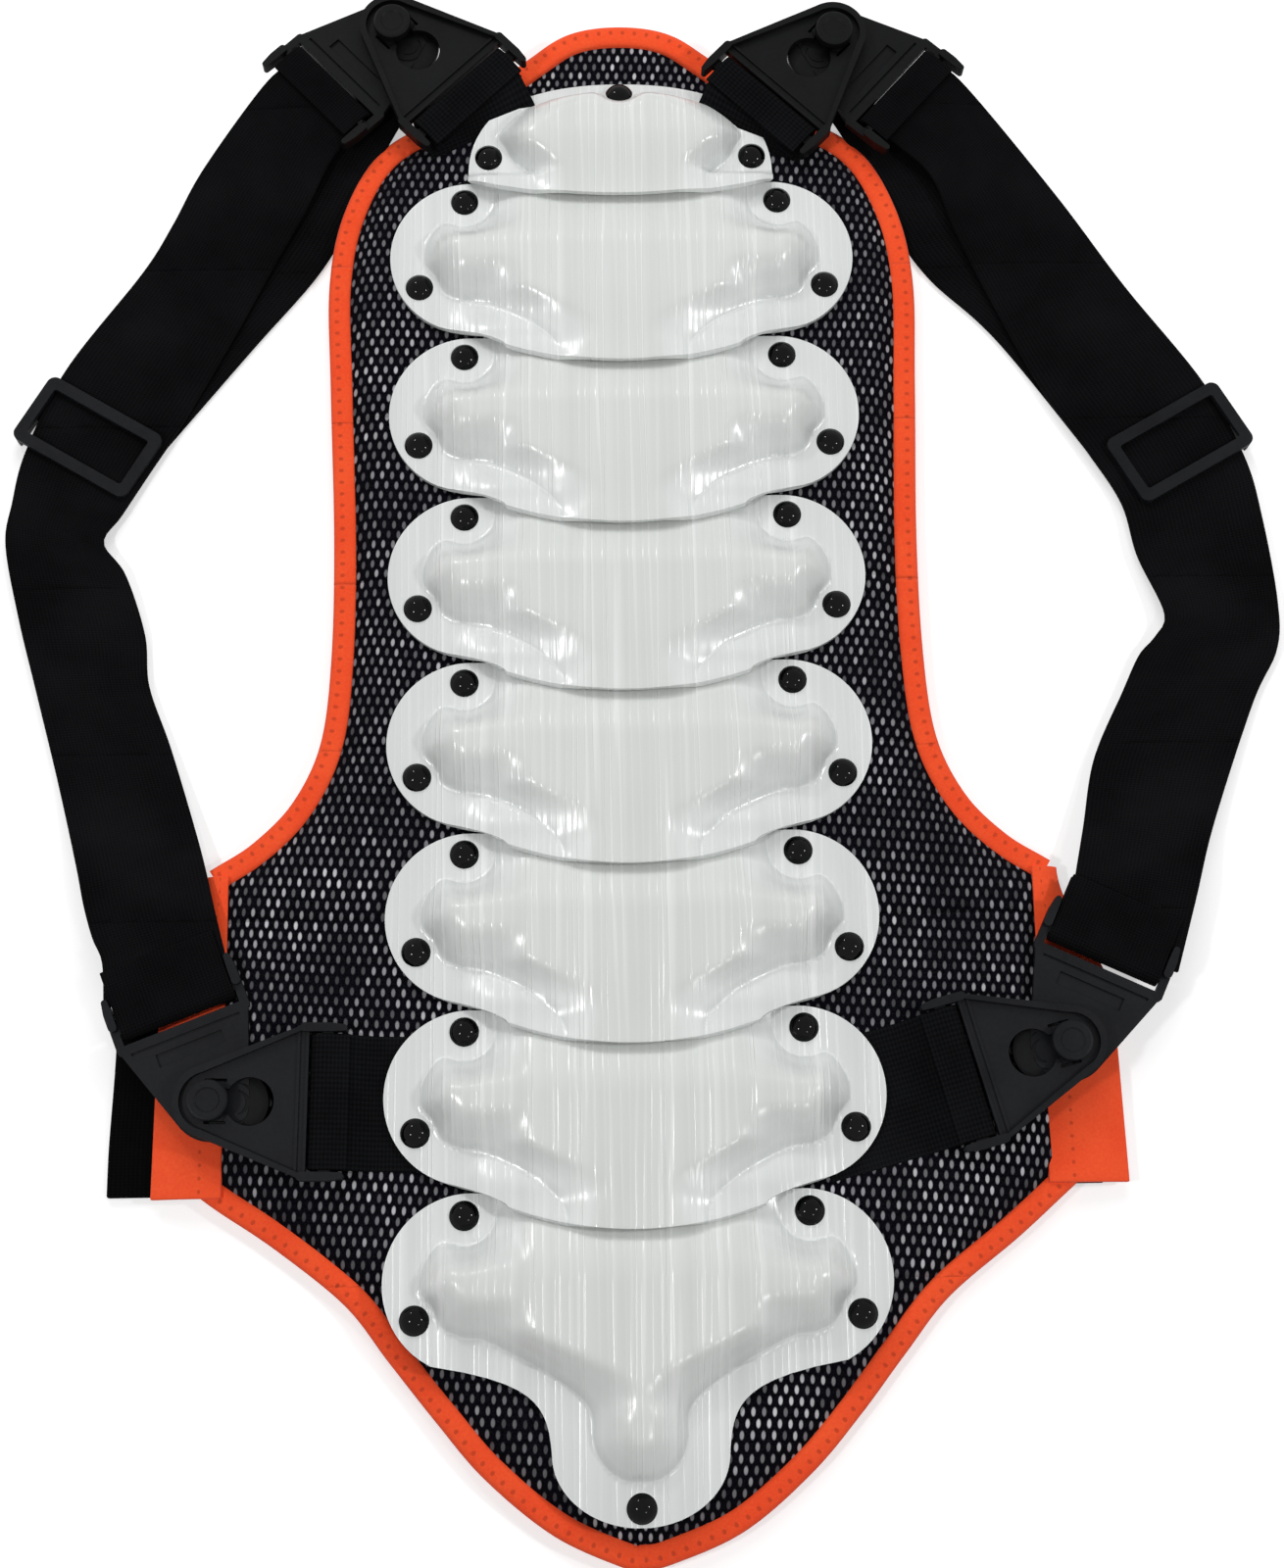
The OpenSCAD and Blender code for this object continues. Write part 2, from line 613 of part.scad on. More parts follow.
// Sewn end of a strap, looped through the stud plate
module strap_end(at) {
    color("black") translate([at[0], at[1], stud_plate_z + seat_gap]) rotate(at[3])
        linear_extrude(strap_t + 0.4) intersection() {
            circle(r = strap_end_r, $fn = 96);
            translate([strap_end_u, -strap_w / 2]) square([strap_end_r, strap_w]);
        }
}

// --- keyhole buckles ------------------------------------------------------

// Round apex at the stud, straight sides to a wide base
module wedge(r, u, hw, bite = 1) {
    reach = norm([u, hw]);
    a = atan2(hw, u) + acos(r / reach);
    touch = r * bite * [cos(a), sin(a)];
    circle(r = r);
    polygon([touch, [u, hw], [u, -hw], [touch[0], -touch[1]]]);
}

module wedge_rim(r, u, hw, w) {
    difference() {
        wedge(r, u, hw);
        wedge(r - w, u + 5, (hw - w) * (u + 5) / u - w * 0.4, 0.985);
    }
}

// Pair of rounded ears beside the bar that holds the webbing
module prongs(u, hw, tip) {
    for (s = [1, -1]) hull() {
        translate([u - ear_r, s * (hw - ear_r)]) circle(r = ear_r);
        translate([tip - 5, s * (hw - ear_r)]) circle(r = ear_r);
        translate([tip - 1, s * (hw - ear_r - 0.2)]) circle(r = 1);
    }
}

// Raised ribs across a plate, length is half of a rib's length
module ribs(places, length) {
    for (u = places) translate([u - rib_w / 2, -length, 0]) cube([rib_w, 2 * length, rib_h]);
}

module keyhole_plate(at) {
    color("darkslategray") translate([at[0], at[1], keyhole_z]) rotate(at[2]) difference() {
        union() {
            linear_extrude(buckle_t) {
                wedge(apex_r, base_u, base_hw);
                translate([base_u + slot_w, -base_hw + 1]) square([bar_w, 2 * base_hw - 2]);
            }
            linear_extrude(buckle_t + buckle_rim_h) {
                wedge_rim(apex_r, base_u, base_hw, buckle_rim_w);
                prongs(base_u, base_hw, prong_u);
            }
            translate([0, 0, buckle_t - tiny]) ribs([base_u - rib_w / 2, base_u - 3.2], base_hw - 2);
            translate([0, 0, buckle_t - tiny]) linear_extrude(barb_h) for (s = [1, -1])
                polygon([for (p = barb) [p[0], s * (stud_d / 2 + slide_gap + p[1])]]);
        }
        translate([0, 0, -1]) linear_extrude(buckle_t + 2) {
            circle(d = stud_d + 2 * slide_gap);
            translate([0, -stud_d / 2 - slide_gap]) square([keyhole_len, stud_d + 2 * slide_gap]);
            translate([keyhole_len, 0]) circle(d = stud_head_d + 2.4);
            for (s = [1, -1]) translate([2, s * (stud_d / 2 + 3)]) square([7, 1], center = true);
        }
    }
}

module stud_plate(at) {
    color("darkslategray") translate([at[0], at[1], stud_plate_z]) rotate(at[3]) {
        difference() {
            linear_extrude(buckle_t) {
                wedge(apex_r + 0.8, stud_base_u, stud_base_hw);
                translate([stud_base_u + slot_w, -stud_base_hw + 1])
                    square([bar_w, 2 * stud_base_hw - 2]);
            }
            // Crescents under the wide end of the keyhole, a recess and a groove
            rotate(at[2] - at[3]) translate([keyhole_len - 4, 0, buckle_t - recess_depth])
                linear_extrude(far) crescents();
            translate([stud_base_u - 8.6, 0, buckle_t - recess_depth]) linear_extrude(far)
                square([4.4, stud_base_hw], center = true);
            translate([stud_base_u - 3.6, 0, buckle_t - recess_depth]) linear_extrude(far)
                square([rib_w, 2 * stud_base_hw - 8], center = true);
        }
        linear_extrude(buckle_t) prongs(stud_base_u, stud_base_hw, stud_prong_u);
        linear_extrude(buckle_t + buckle_rim_h)
            prongs(stud_base_u + slot_w + 4, stud_base_hw, stud_prong_u);
        translate([stud_base_u + slot_w + 0.8, -strap_w / 2, 0])
            cube([bar_w - 1.6, strap_w, buckle_t + 1.2]);
        cylinder(d = stud_d, h = stud_head_z - stud_plate_z + tiny);
        translate([0, 0, stud_head_z - stud_plate_z]) stud_head();
    }
}

module crescents() {
    for (r = [6.2, 3.8]) intersection() {
        difference() {
            circle(r = r);
            translate([-1.4, 0]) circle(r = r);
        }
        translate([0, -r]) square([2 * r, 2 * r]);
    }
}

module stud_head() {
    edge = 0.8;
    r = stud_head_d / 2;
    rotate_extrude() polygon(concat([[0, 0], [r - 0.4, 0], [r, 0.4]],
        [for (a = [0:30:90]) [r - edge + edge * cos(a), stud_head_h - edge + edge * sin(a)]],
        [[r - 2.4, stud_head_h], [r - 3, stud_head_h - 0.5], [0, stud_head_h - 0.5]]));
}

// --- slide adjusters ------------------------------------------------------

module round_box(hx, hy, r) {
    square([2 * hx, 2 * (hy - r)], center = true);
    square([2 * (hx - r), 2 * hy], center = true);
    for (x = [-1, 1], y = [-1, 1]) translate([x * (hx - r), y * (hy - r)]) circle(r = r);
}

// The strap runs under both end bars and over the middle bar
module adjuster(at) {
    over = strap_z + strap_t + slide_gap;
    hx = adjuster_hw + rail_w;
    hy = adjuster_len / 2;
    low = 0.2;
    color("darkslategray") translate([at[0], at[1], 0]) rotate(at[2]) {
        translate([0, 0, over]) linear_extrude(adjuster_t) difference() {
            round_box(hx, hy, 3);
            round_box(adjuster_hw - 0.6, hy - frame_bar, 1);
        }
        translate([0, 0, low]) linear_extrude(over - low + tiny) intersection() {
            round_box(hx, hy, 3);
            for (s = [1, -1]) translate([s * (adjuster_hw + rail_w / 2 + 1), 0])
                square([rail_w + 2, 2 * hy], center = true);
        }
        translate([-adjuster_hw - 1, -2.5, low])
            cube([2 * adjuster_hw + 2, 5, strap_z - slide_gap - low]);
    }
}

plate(1);  // plate_1
plate(2);  // plate_2
plate(3);  // plate_3
plate(4);  // plate_4
plate(5);  // plate_5
plate(6);  // plate_6
plate(7);  // plate_7
plate(8);  // plate_8
rivets(1);  // rivets_1
rivets(2);  // rivets_2
rivets(3);  // rivets_3
rivets(4);  // rivets_4
rivets(5);  // rivets_5
rivets(6);  // rivets_6
rivets(7);  // rivets_7
rivets(8);  // rivets_8
pad(1);  // pad_1
pad(2);  // pad_2
pad(3);  // pad_3
pad(4);  // pad_4
pad(5);  // pad_5
pad(6);  // pad_6
pad(7);  // pad_7
pad(8);  // pad_8
binding(1);  // binding_1
binding(2);  // binding_2
binding(3);  // binding_3
binding(4);  // binding_4
binding(5);  // binding_5
binding(6);  // binding_6
binding(8);  // binding_8
straps(2);  // straps_2
straps(3);  // straps_3
straps(4);  // straps_4
straps(5);  // straps_5
straps(6);  // straps_6
strap_end(shoulder_left);  // strap_end_shoulder_left
strap_end(shoulder_right);  // strap_end_shoulder_right
strap_end(waist_left);  // strap_end_waist_left
strap_end(waist_right);  // strap_end_waist_right
keyhole_plate(shoulder_left);  // keyhole_plate_shoulder_left
keyhole_plate(shoulder_right);  // keyhole_plate_shoulder_right
keyhole_plate(waist_left);  // keyhole_plate_waist_left
keyhole_plate(waist_right);  // keyhole_plate_waist_right
stud_plate(shoulder_left);  // stud_plate_shoulder_left
stud_plate(shoulder_right);  // stud_plate_shoulder_right
stud_plate(waist_left);  // stud_plate_waist_left
stud_plate(waist_right);  // stud_plate_waist_right
adjuster(adjuster_left_at);  // adjuster_left
adjuster(adjuster_right_at);  // adjuster_right
shoulder_webbing();
waist_webbing();
side_tabs();
waist_belt();
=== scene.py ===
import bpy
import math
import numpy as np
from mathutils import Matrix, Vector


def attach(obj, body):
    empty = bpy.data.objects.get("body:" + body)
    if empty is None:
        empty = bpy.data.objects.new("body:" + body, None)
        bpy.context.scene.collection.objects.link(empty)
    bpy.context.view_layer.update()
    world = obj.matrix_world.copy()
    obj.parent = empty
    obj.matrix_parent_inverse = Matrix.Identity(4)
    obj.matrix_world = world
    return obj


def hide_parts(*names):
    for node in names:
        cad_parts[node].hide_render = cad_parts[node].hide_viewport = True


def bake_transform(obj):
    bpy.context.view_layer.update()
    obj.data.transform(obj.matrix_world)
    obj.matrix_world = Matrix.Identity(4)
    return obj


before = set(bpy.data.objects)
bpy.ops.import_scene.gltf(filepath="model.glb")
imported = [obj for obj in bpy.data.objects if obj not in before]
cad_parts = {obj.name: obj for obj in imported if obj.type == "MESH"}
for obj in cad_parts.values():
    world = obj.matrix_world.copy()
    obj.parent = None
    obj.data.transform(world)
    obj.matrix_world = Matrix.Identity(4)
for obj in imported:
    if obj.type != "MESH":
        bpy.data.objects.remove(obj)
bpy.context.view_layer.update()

# %% [markdown]
# A back protector lies on its back on a pale floor. The stiff pieces come from the
# construction model; this lesson gives them their finishes and makes the finer spine plates
# and all that is cloth. Lengths in the lists are millimetres, and MM turns them into Blender's
# metres. They run to the right, towards the neck and away from the wearer.

MM = 0.001

# %% [markdown]
# Every piece starts from a clean selection, because operators act on all that is selected.
# Short helpers select one piece, apply a modifier, turn faces outwards and give a sheet its wall.

# %% Selection and modifier helpers
def only(*pieces):
    if bpy.context.mode != "OBJECT":
        bpy.ops.object.mode_set(mode="OBJECT")
    bpy.ops.object.select_all(action="DESELECT")
    for piece in pieces:
        piece.select_set(True)
        bpy.context.view_layer.objects.active = piece

def finish_with(piece, kind, **settings):
    only(piece)
    modifier = piece.modifiers.new(kind.title(), kind)
    for name, value in settings.items():
        setattr(modifier, name, value)
    bpy.ops.object.modifier_apply(modifier=modifier.name)

def smooth(piece, angle):
    only(piece)
    bpy.ops.object.shade_smooth_by_angle(angle=math.radians(angle))

def edit_all(piece):
    only(piece)
    bpy.ops.object.mode_set(mode="EDIT")
    bpy.ops.mesh.select_all(action="SELECT")

def outward(piece, merge=None):
    """Turns all faces outwards. With merge, points closer than that are joined first."""
    edit_all(piece)
    if merge:
        bpy.ops.mesh.remove_doubles(threshold=merge)
    bpy.ops.mesh.normals_make_consistent(inside=False)
    bpy.ops.object.mode_set(mode="OBJECT")

def round_edges(piece, width, angle=60, segments=2):
    finish_with(piece, "BEVEL", width=width * MM, segments=segments, limit_method="ANGLE",
                angle_limit=math.radians(angle))

def give_wall(piece, thick, edge):
    """A sheet becomes a band: half its thickness on each side, and rounded edges."""
    finish_with(piece, "SOLIDIFY", thickness=thick * MM, offset=0)
    round_edges(piece, edge)

# %% [markdown]
# Most soft and moulded pieces of the real object are sheets: pressed, folded or laid out flat.
# Each could be pulled into shape by hand. Here each point of a grid goes to the place that a
# small function of two shares, across and along, gives for it, so copies are all alike. The
# grid's own UV map is kept and measured in metres, so weaves follow the sheet.

# %% A sheet from a grid
def sheet_piece(name, across, along, place, size=None):
    only()
    bpy.ops.mesh.primitive_grid_add(x_subdivisions=across, y_subdivisions=along, size=2)
    piece = bpy.context.object
    piece.name = piece.data.name = name
    for point in piece.data.vertices:
        u, v = (point.co.x + 1) / 2, (point.co.y + 1) / 2
        point.co = Vector(place(u, v)) * MM
    if size:
        for corner in piece.data.uv_layers.active.data:
            corner.uv = (corner.uv[0] * size[0] * MM, corner.uv[1] * size[1] * MM)
    return piece

def share_of(t):
    return min(1, max(0, t))

def ease(t):
    """From 0 to 1, with a soft start and a soft end."""
    t = share_of(t)
    return t * t * (3 - 2 * t)

# %% [markdown]
# The camera stands where a person's eye would be, 0.8 m above the panel and a little below its
# middle, so the neck leans away.

# %% Camera
camera_data = bpy.data.cameras.new("camera")
camera_data.lens = 56.25
camera_data.sensor_width = 36
camera = bpy.data.objects.new("camera", camera_data)
bpy.context.scene.collection.objects.link(camera)
EYE, ROLL, SIDEWAYS, TILT = (-12.54, -90.22, 792.3), 0.7088, 1.1668, -13.8377
lean = (Matrix.Rotation(math.radians(ROLL), 3, "Z")
        @ Matrix.Rotation(math.radians(SIDEWAYS), 3, "Y")
        @ Matrix.Rotation(math.radians(TILT), 3, "X"))
camera.matrix_world = Matrix.Translation(Vector(EYE) * MM) @ lean.transposed().to_4x4()
bpy.context.scene.camera = camera
print("the camera stands at", [round(c, 3) for c in camera.matrix_world.translation])

# %% [markdown]
# Light: small bright lamps stand round the object, to its left, right, lower right and far
# left. They make the dots that domed rivets mirror and the streaks on polished plastic. A soft
# panel beyond the neck, left out of reflections, fills in, strongest near the neck.

# %% Lights
PANEL_MIDDLE = Vector((0, 0.13, 0))
LAMP_HEIGHT, LAMP_SIZE = 0.75, 0.085

def soft_light(name, place, size, power):
    data = bpy.data.lights.new(name, "AREA")
    data.size, data.energy = size, power
    light = bpy.data.objects.new(name, data)
    bpy.context.scene.collection.objects.link(light)
    light.location = place
    light.rotation_euler = (PANEL_MIDDLE - Vector(place)).to_track_quat("-Z", "Y").to_euler()
    print(name, power, "W at", place)
    return light

for name, x, y, power in (("lamp_left", -0.5, -0.12, 2.1), ("lamp_right", 0.8, 0.08, 2.7),
                          ("lamp_low", 0.38, -0.45, 0.7), ("lamp_far", -0.52, 1.0, 1.9)):
    soft_light(name, (x, y, LAMP_HEIGHT), LAMP_SIZE, power)
soft_light("overhead", (0, 0.95, 0.8), 0.6, 4.6).visible_glossy = False

# %% [markdown]
# The sky is white where the camera looks at it, also in a reflection, and dimmer where it
# lights the object. The floor is pale paper. It glows a little towards the camera, enough to
# look white in full light, and it still darkens in the object's shadow.

# %% A node with its settings and links, and the rays that see things
def add_node(owner, kind, inputs=None, stops=None, **settings):
    """Adds a shader node. An input is a value, a socket or a node. Stops are (place, hex)."""
    node = owner.node_tree.nodes.new("ShaderNode" + kind)
    for name, value in settings.items():
        setattr(node, name, value)
    for socket, value in (inputs or {}).items():
        if isinstance(value, bpy.types.Node):
            value = value.outputs[0]
        if isinstance(value, bpy.types.NodeSocket):
            owner.node_tree.links.new(value, node.inputs[socket])
        else:
            node.inputs[socket].default_value = value
    for i, (place, colour) in enumerate(stops or []):
        element = node.color_ramp.elements[i] if i < 2 else node.color_ramp.elements.new(place)
        element.position, element.color = place, hex_colour(colour)
    return node

def seen_rays(owner):
    path = add_node(owner, "LightPath")
    seen = add_node(owner, "Math", {0: path.outputs["Is Camera Ray"],
                                    1: path.outputs["Is Glossy Ray"]}, operation="MAXIMUM")
    return add_node(owner, "Math", {0: seen, 1: path.outputs["Is Transmission Ray"]},
                    operation="MAXIMUM")

# %% Sky
world = bpy.data.worlds.new("studio")
world.use_nodes = True
world.node_tree.nodes.clear()
dim = add_node(world, "Background", {"Color": (1, 1, 1, 1), "Strength": 0.18})
white = add_node(world, "Background", {"Color": (1, 1, 1, 1), "Strength": 1.0})
sky = add_node(world, "MixShader", {0: seen_rays(world), 1: dim, 2: white})
add_node(world, "OutputWorld", {0: sky})
bpy.context.scene.world = world
bpy.context.scene.view_settings.view_transform = "Standard"

# %% Floor, just under the lowest cloth
only()
bpy.ops.mesh.primitive_plane_add(size=6, location=(0, 0, -0.0006))
floor = bpy.context.object
floor.name = "floor"
floor.data.transform(floor.matrix_world)
floor.matrix_world = Matrix.Identity(4)
print("floor and sky are made")

# %% [markdown]
# Materials. Colours are written as sRGB hex values, and one function turns them to linear. The
# same small function that built the sky adds every node. Patterns could be painted on images;
# they are worked out from real sizes instead, so they stay sharp from near.

# %% Colour and material helpers
def hex_colour(text):
    """sRGB in hex to linear red, green, blue and alpha."""
    parts = [int(text[i:i + 2], 16) / 255 for i in (1, 3, 5)]
    return tuple(p / 12.92 if p <= 0.04045 else ((p + 0.055) / 1.055) ** 2.4 for p in parts) + (1,)

def new_material(name, **sockets):
    material = bpy.data.materials.new(name)
    material.use_nodes = True
    shader = material.node_tree.nodes["Principled BSDF"]
    for socket, value in sockets.items():
        shader.inputs[socket.replace("_", " ")].default_value = value
    return material, shader

def wire(material, shader, colour, height, strength, distance):
    """Colour and bump height go to the shader."""
    links = material.node_tree.links
    bump = add_node(material, "Bump", {"Height": height, "Strength": strength,
                                       "Distance": distance})
    links.new(colour.outputs[0], shader.inputs["Base Color"])
    links.new(bump.outputs[0], shader.inputs["Normal"])

# %% Floor finish: matt pale paper that keeps the shadow
floor_paper, shader = new_material("pale_paper", Base_Color=hex_colour("#DCDCDC"),
                                   Roughness=0.9, Specular_IOR_Level=0.0)
glow = add_node(floor_paper, "Emission", {"Color": (1, 1, 1, 1), "Strength": 0.5})
none = add_node(floor_paper, "Emission", {"Color": (0, 0, 0, 1)})
seen = add_node(floor_paper, "MixShader", {0: seen_rays(floor_paper), 1: none, 2: glow})
both = add_node(floor_paper, "AddShader", {0: shader, 1: seen})
surface = floor_paper.node_tree.nodes["Material Output"].inputs[0]
floor_paper.node_tree.links.new(both.outputs[0], surface)
floor.data.materials.append(floor_paper)

# %% [markdown]
# Plates: white polypropylene, injection moulded, satin. The mould was polished lengthwise, so
# flutes 2.6 mm wide run unevenly down each plate, and each crest catches the light. They are
# too shallow to model, so a bump pattern draws them, and a paler colour on each crest is a
# painted highlight. The crown's light and shade are painted too: each plate carries its crown's
# height as the attribute "crown", and a ramp reads it, with a painted highlight along the
# crown's foot, painted shade on its flank and a lighter top.

# %% Moulded polypropylene: flutes along the plate
FLUTE = 0.0026
white_pp, shader = new_material("moulded_white_polypropylene", Roughness=0.26, IOR=1.49,
                                Specular_IOR_Level=0.85)
place = add_node(white_pp, "TexCoord").outputs["Object"]
drawn = add_node(white_pp, "Mapping", {"Vector": place, "Scale": (1, 0.02, 0.02)})
ripple = add_node(white_pp, "TexNoise", {"Vector": drawn, "Scale": 150.0, "Detail": 2.0})
drift = add_node(white_pp, "Math", {0: ripple, 1: 0.012}, operation="MULTIPLY")
across = add_node(white_pp, "SeparateXYZ", {0: place}).outputs["X"]
moved = add_node(white_pp, "Math", {0: across, 1: drift}, operation="ADD")
flutes = add_node(white_pp, "Math", {0: moved, 1: 2 * math.pi / FLUTE}, operation="MULTIPLY")
wave = add_node(white_pp, "Math", {0: flutes}, operation="SINE")
shown = add_node(white_pp, "MapRange", {0: ripple, 1: 0.4, 2: 0.62, 3: 0.15, 4: 1.0})
crest = add_node(white_pp, "MapRange", {0: wave, 1: 0.3, 2: 1.0, 3: 0.0, 4: 1.0})
line = add_node(white_pp, "Math", {0: crest, 1: shown}, operation="MULTIPLY")

# %% Moulded polypropylene: painted shade and highlights of rim, foot and crown, and painted highlights on the crests
raised = add_node(white_pp, "Attribute", attribute_name="crown").outputs["Fac"]
# Painted light and shade from the crown's height: the rim, a thin painted highlight at the foot,
# painted shade on the flank, lighter higher up and a little greyer on the top.
painted_crown_shading = add_node(white_pp, "ValToRGB", {0: raised}, stops=[
    (0.0, "#E1E4E3"), (0.03, "#EEF1F0"), (0.07, "#DCE0DE"),
    (0.35, "#EBEEEC"), (0.75, "#E9ECEA"), (0.97, "#E0E3E0")])
rippled = add_node(white_pp, "ValToRGB", {0: ripple}, stops=[(0.3, "#F4F4F4"), (0.7, "#FFFFFF")])
tone = add_node(white_pp, "MixRGB", {0: 1.0, 1: painted_crown_shading, 2: rippled}, blend_type="MULTIPLY")
# The crests of the flutes are painted paler: a painted highlight, besides their bump.
share = add_node(white_pp, "Math", {0: line, 1: 0.6}, operation="MULTIPLY")
crest_painted_highlight = add_node(white_pp, "MixRGB", {0: share, 1: tone, 2: hex_colour("#F6F7F6")})
height = add_node(white_pp, "Math", {0: line, 1: 0.3, 2: ripple}, operation="MULTIPLY_ADD")
wire(white_pp, shader, crest_painted_highlight, height, 0.7, 0.0008)
print(white_pp.name, len(white_pp.node_tree.nodes), "nodes")

# %% [markdown]
# Rivet heads: domed steel in thick black enamel with a slight orange peel, so each one mirrors
# the lamps as small dots. Its reflection is weak, or the white sky would turn it grey.

# %% Black enamel
enamel, shader = new_material("black_enamel", Roughness=0.05, IOR=1.5, Specular_IOR_Level=0.13)
place = add_node(enamel, "TexCoord").outputs["Object"]
peel = add_node(enamel, "TexNoise", {"Vector": place, "Scale": 500.0, "Detail": 1.0})
black = add_node(enamel, "ValToRGB", {0: peel}, stops=[(0.3, "#020203"), (0.7, "#050506")])
wire(enamel, shader, black, peel, 0.05, 0.0002)
print(enamel.name, len(enamel.node_tree.nodes), "nodes")

# %% [markdown]
# Air mesh: a knitted black spacer fabric with rows of long holes, 3.25 mm apart in a row and
# 3.45 mm from row to row, each row shifted by half a hole. Thousands of real holes would make
# a very heavy mesh, so the holes are drawn: the place is divided into cells, and an oval in each
# shows the pale backing, more in some than in others. The knit runs slightly askew.

# %% Knitted spacer mesh: the place of each hole
HOLE_GAP, ROW_GAP = 0.00325, 0.00345
HOLE_W, HOLE_L = 0.19, 0.37
air_mesh, shader = new_material("knitted_spacer_mesh", Roughness=0.9, Specular_IOR_Level=0.02)
place = add_node(air_mesh, "TexCoord").outputs["Object"]
wander = add_node(air_mesh, "TexNoise", {"Vector": place, "Scale": 9.0, "Detail": 1.0})
pull = add_node(air_mesh, "VectorMath", {0: wander.outputs["Color"], "Scale": 0.008},
                operation="SCALE")
moved = add_node(air_mesh, "VectorMath", {0: place, 1: pull}, operation="ADD")
turned = add_node(air_mesh, "Mapping", {"Vector": moved, "Rotation": (0, 0, math.radians(4)),
                                        "Scale": (1 / HOLE_GAP, 1 / ROW_GAP, 1)})
axes = add_node(air_mesh, "SeparateXYZ", {0: turned})
row = add_node(air_mesh, "Math", {0: axes.outputs["Y"]}, operation="FLOOR")
odd = add_node(air_mesh, "Math", {0: row, 1: 2.0}, operation="FLOORED_MODULO")
shift = add_node(air_mesh, "Math", {0: odd, 1: 0.5, 2: axes.outputs["X"]}, operation="MULTIPLY_ADD")
number = add_node(air_mesh, "Math", {0: shift}, operation="FLOOR")
in_row = add_node(air_mesh, "Math", {0: shift}, operation="FRACT")
in_line = add_node(air_mesh, "Math", {0: axes.outputs["Y"]}, operation="FRACT")

# %% Knitted spacer mesh: oval holes, each with its own share of pale backing
cell = add_node(air_mesh, "CombineXYZ", {0: in_row, 1: in_line})
centred = add_node(air_mesh, "VectorMath", {0: cell, 1: (0.5, 0.5, 0)}, operation="SUBTRACT")
oval = add_node(air_mesh, "VectorMath", {0: centred, 1: (1 / HOLE_W, 1 / HOLE_L, 0)},
                operation="MULTIPLY")
radius = add_node(air_mesh, "VectorMath", {0: oval}, operation="LENGTH").outputs["Value"]
hole = add_node(air_mesh, "MapRange", {0: radius, 1: 1.3, 2: 0.7, 3: 0.0, 4: 1.0},
                interpolation_type="SMOOTHSTEP")
stitch = add_node(air_mesh, "CombineXYZ", {0: number, 1: row})
luck = add_node(air_mesh, "TexWhiteNoise", {"Vector": stitch}, noise_dimensions="2D")
patch = add_node(air_mesh, "TexNoise", {"Vector": place, "Scale": 26.0, "Detail": 2.0})
own = add_node(air_mesh, "Math", {0: luck, 1: 0.55, 2: 0.2}, operation="MULTIPLY_ADD")
near = add_node(air_mesh, "MapRange", {0: patch, 1: 0.3, 2: 0.7, 3: 0.45, 4: 1.35})
pale = add_node(air_mesh, "Math", {0: own, 1: near}, operation="MULTIPLY")
backing = add_node(air_mesh, "ValToRGB", {0: pale}, stops=[
    (0.05, "#232327"), (0.5, "#848488"), (0.9, "#CFCFD3")])

# %% Knitted spacer mesh: the yarn round the holes
yarn = add_node(air_mesh, "TexNoise", {"Vector": place, "Scale": 1600.0, "Detail": 2.0})
thread = add_node(air_mesh, "ValToRGB", {0: yarn}, stops=[(0.35, "#050508"), (0.7, "#121219")])
cloth = add_node(air_mesh, "MixRGB", {0: hole, 1: thread, 2: backing})
height = add_node(air_mesh, "Math", {0: yarn, 1: hole}, operation="SUBTRACT")
wire(air_mesh, shader, cloth, height, 0.4, 0.0005)
print(air_mesh.name, len(air_mesh.node_tree.nodes), "nodes")

# %% [markdown]
# Binding: bright orange polyester tape in a plain weave. Its stitches sit 4.2 mm apart in a line
# beside the inner edge, and pull small dimples into it. UV runs round the tape and along
# it, so oval spots follow each curve: they dent the tape, and are darkened with painted shade
# of the dimples.

# %% Orange polyester tape: the cloth
STITCH_GAP, SEAM_AT = 0.0042, 0.0065
STITCH_W, STITCH_SHARE = 0.0005, 0.16
orange, shader = new_material("orange_polyester_tape", Roughness=0.75, Sheen_Weight=0.15,
                              Specular_IOR_Level=0.25)
place = add_node(orange, "TexCoord")
weave, patch = (add_node(orange, "TexNoise", {"Vector": place.outputs["Object"],
                                              "Scale": scale, "Detail": 2.0})
                for scale in (1100.0, 60.0))
mixed = add_node(orange, "Math", {0: weave, 1: patch}, operation="ADD")
half = add_node(orange, "Math", {0: mixed, 1: 0.5}, operation="MULTIPLY")
cloth = add_node(orange, "ValToRGB", {0: half}, stops=[(0.3, "#F4471C"), (0.7, "#FF5B2B")])

# %% Orange polyester tape: the stitches, their dents and painted shade
cells = add_node(orange, "Mapping", {"Vector": place.outputs["UV"], "Location": (-SEAM_AT, 0, 0),
                                     "Scale": (1, 1 / STITCH_GAP, 1)})
axes = add_node(orange, "SeparateXYZ", {0: cells})
step = add_node(orange, "Math", {0: axes.outputs["Y"]}, operation="FRACT")
spot = add_node(orange, "CombineXYZ", {0: axes.outputs["X"], 1: step})
centred = add_node(orange, "VectorMath", {0: spot, 1: (0, 0.5, 0)}, operation="SUBTRACT")
oval = add_node(orange, "VectorMath", {0: centred, 1: (1 / STITCH_W, 1 / STITCH_SHARE, 0)},
                operation="MULTIPLY")
radius = add_node(orange, "VectorMath", {0: oval}, operation="LENGTH").outputs["Value"]
stitch = add_node(orange, "MapRange", {0: radius, 1: 1.25, 2: 0.6, 3: 0.0, 4: 0.7},
                  interpolation_type="SMOOTHSTEP")
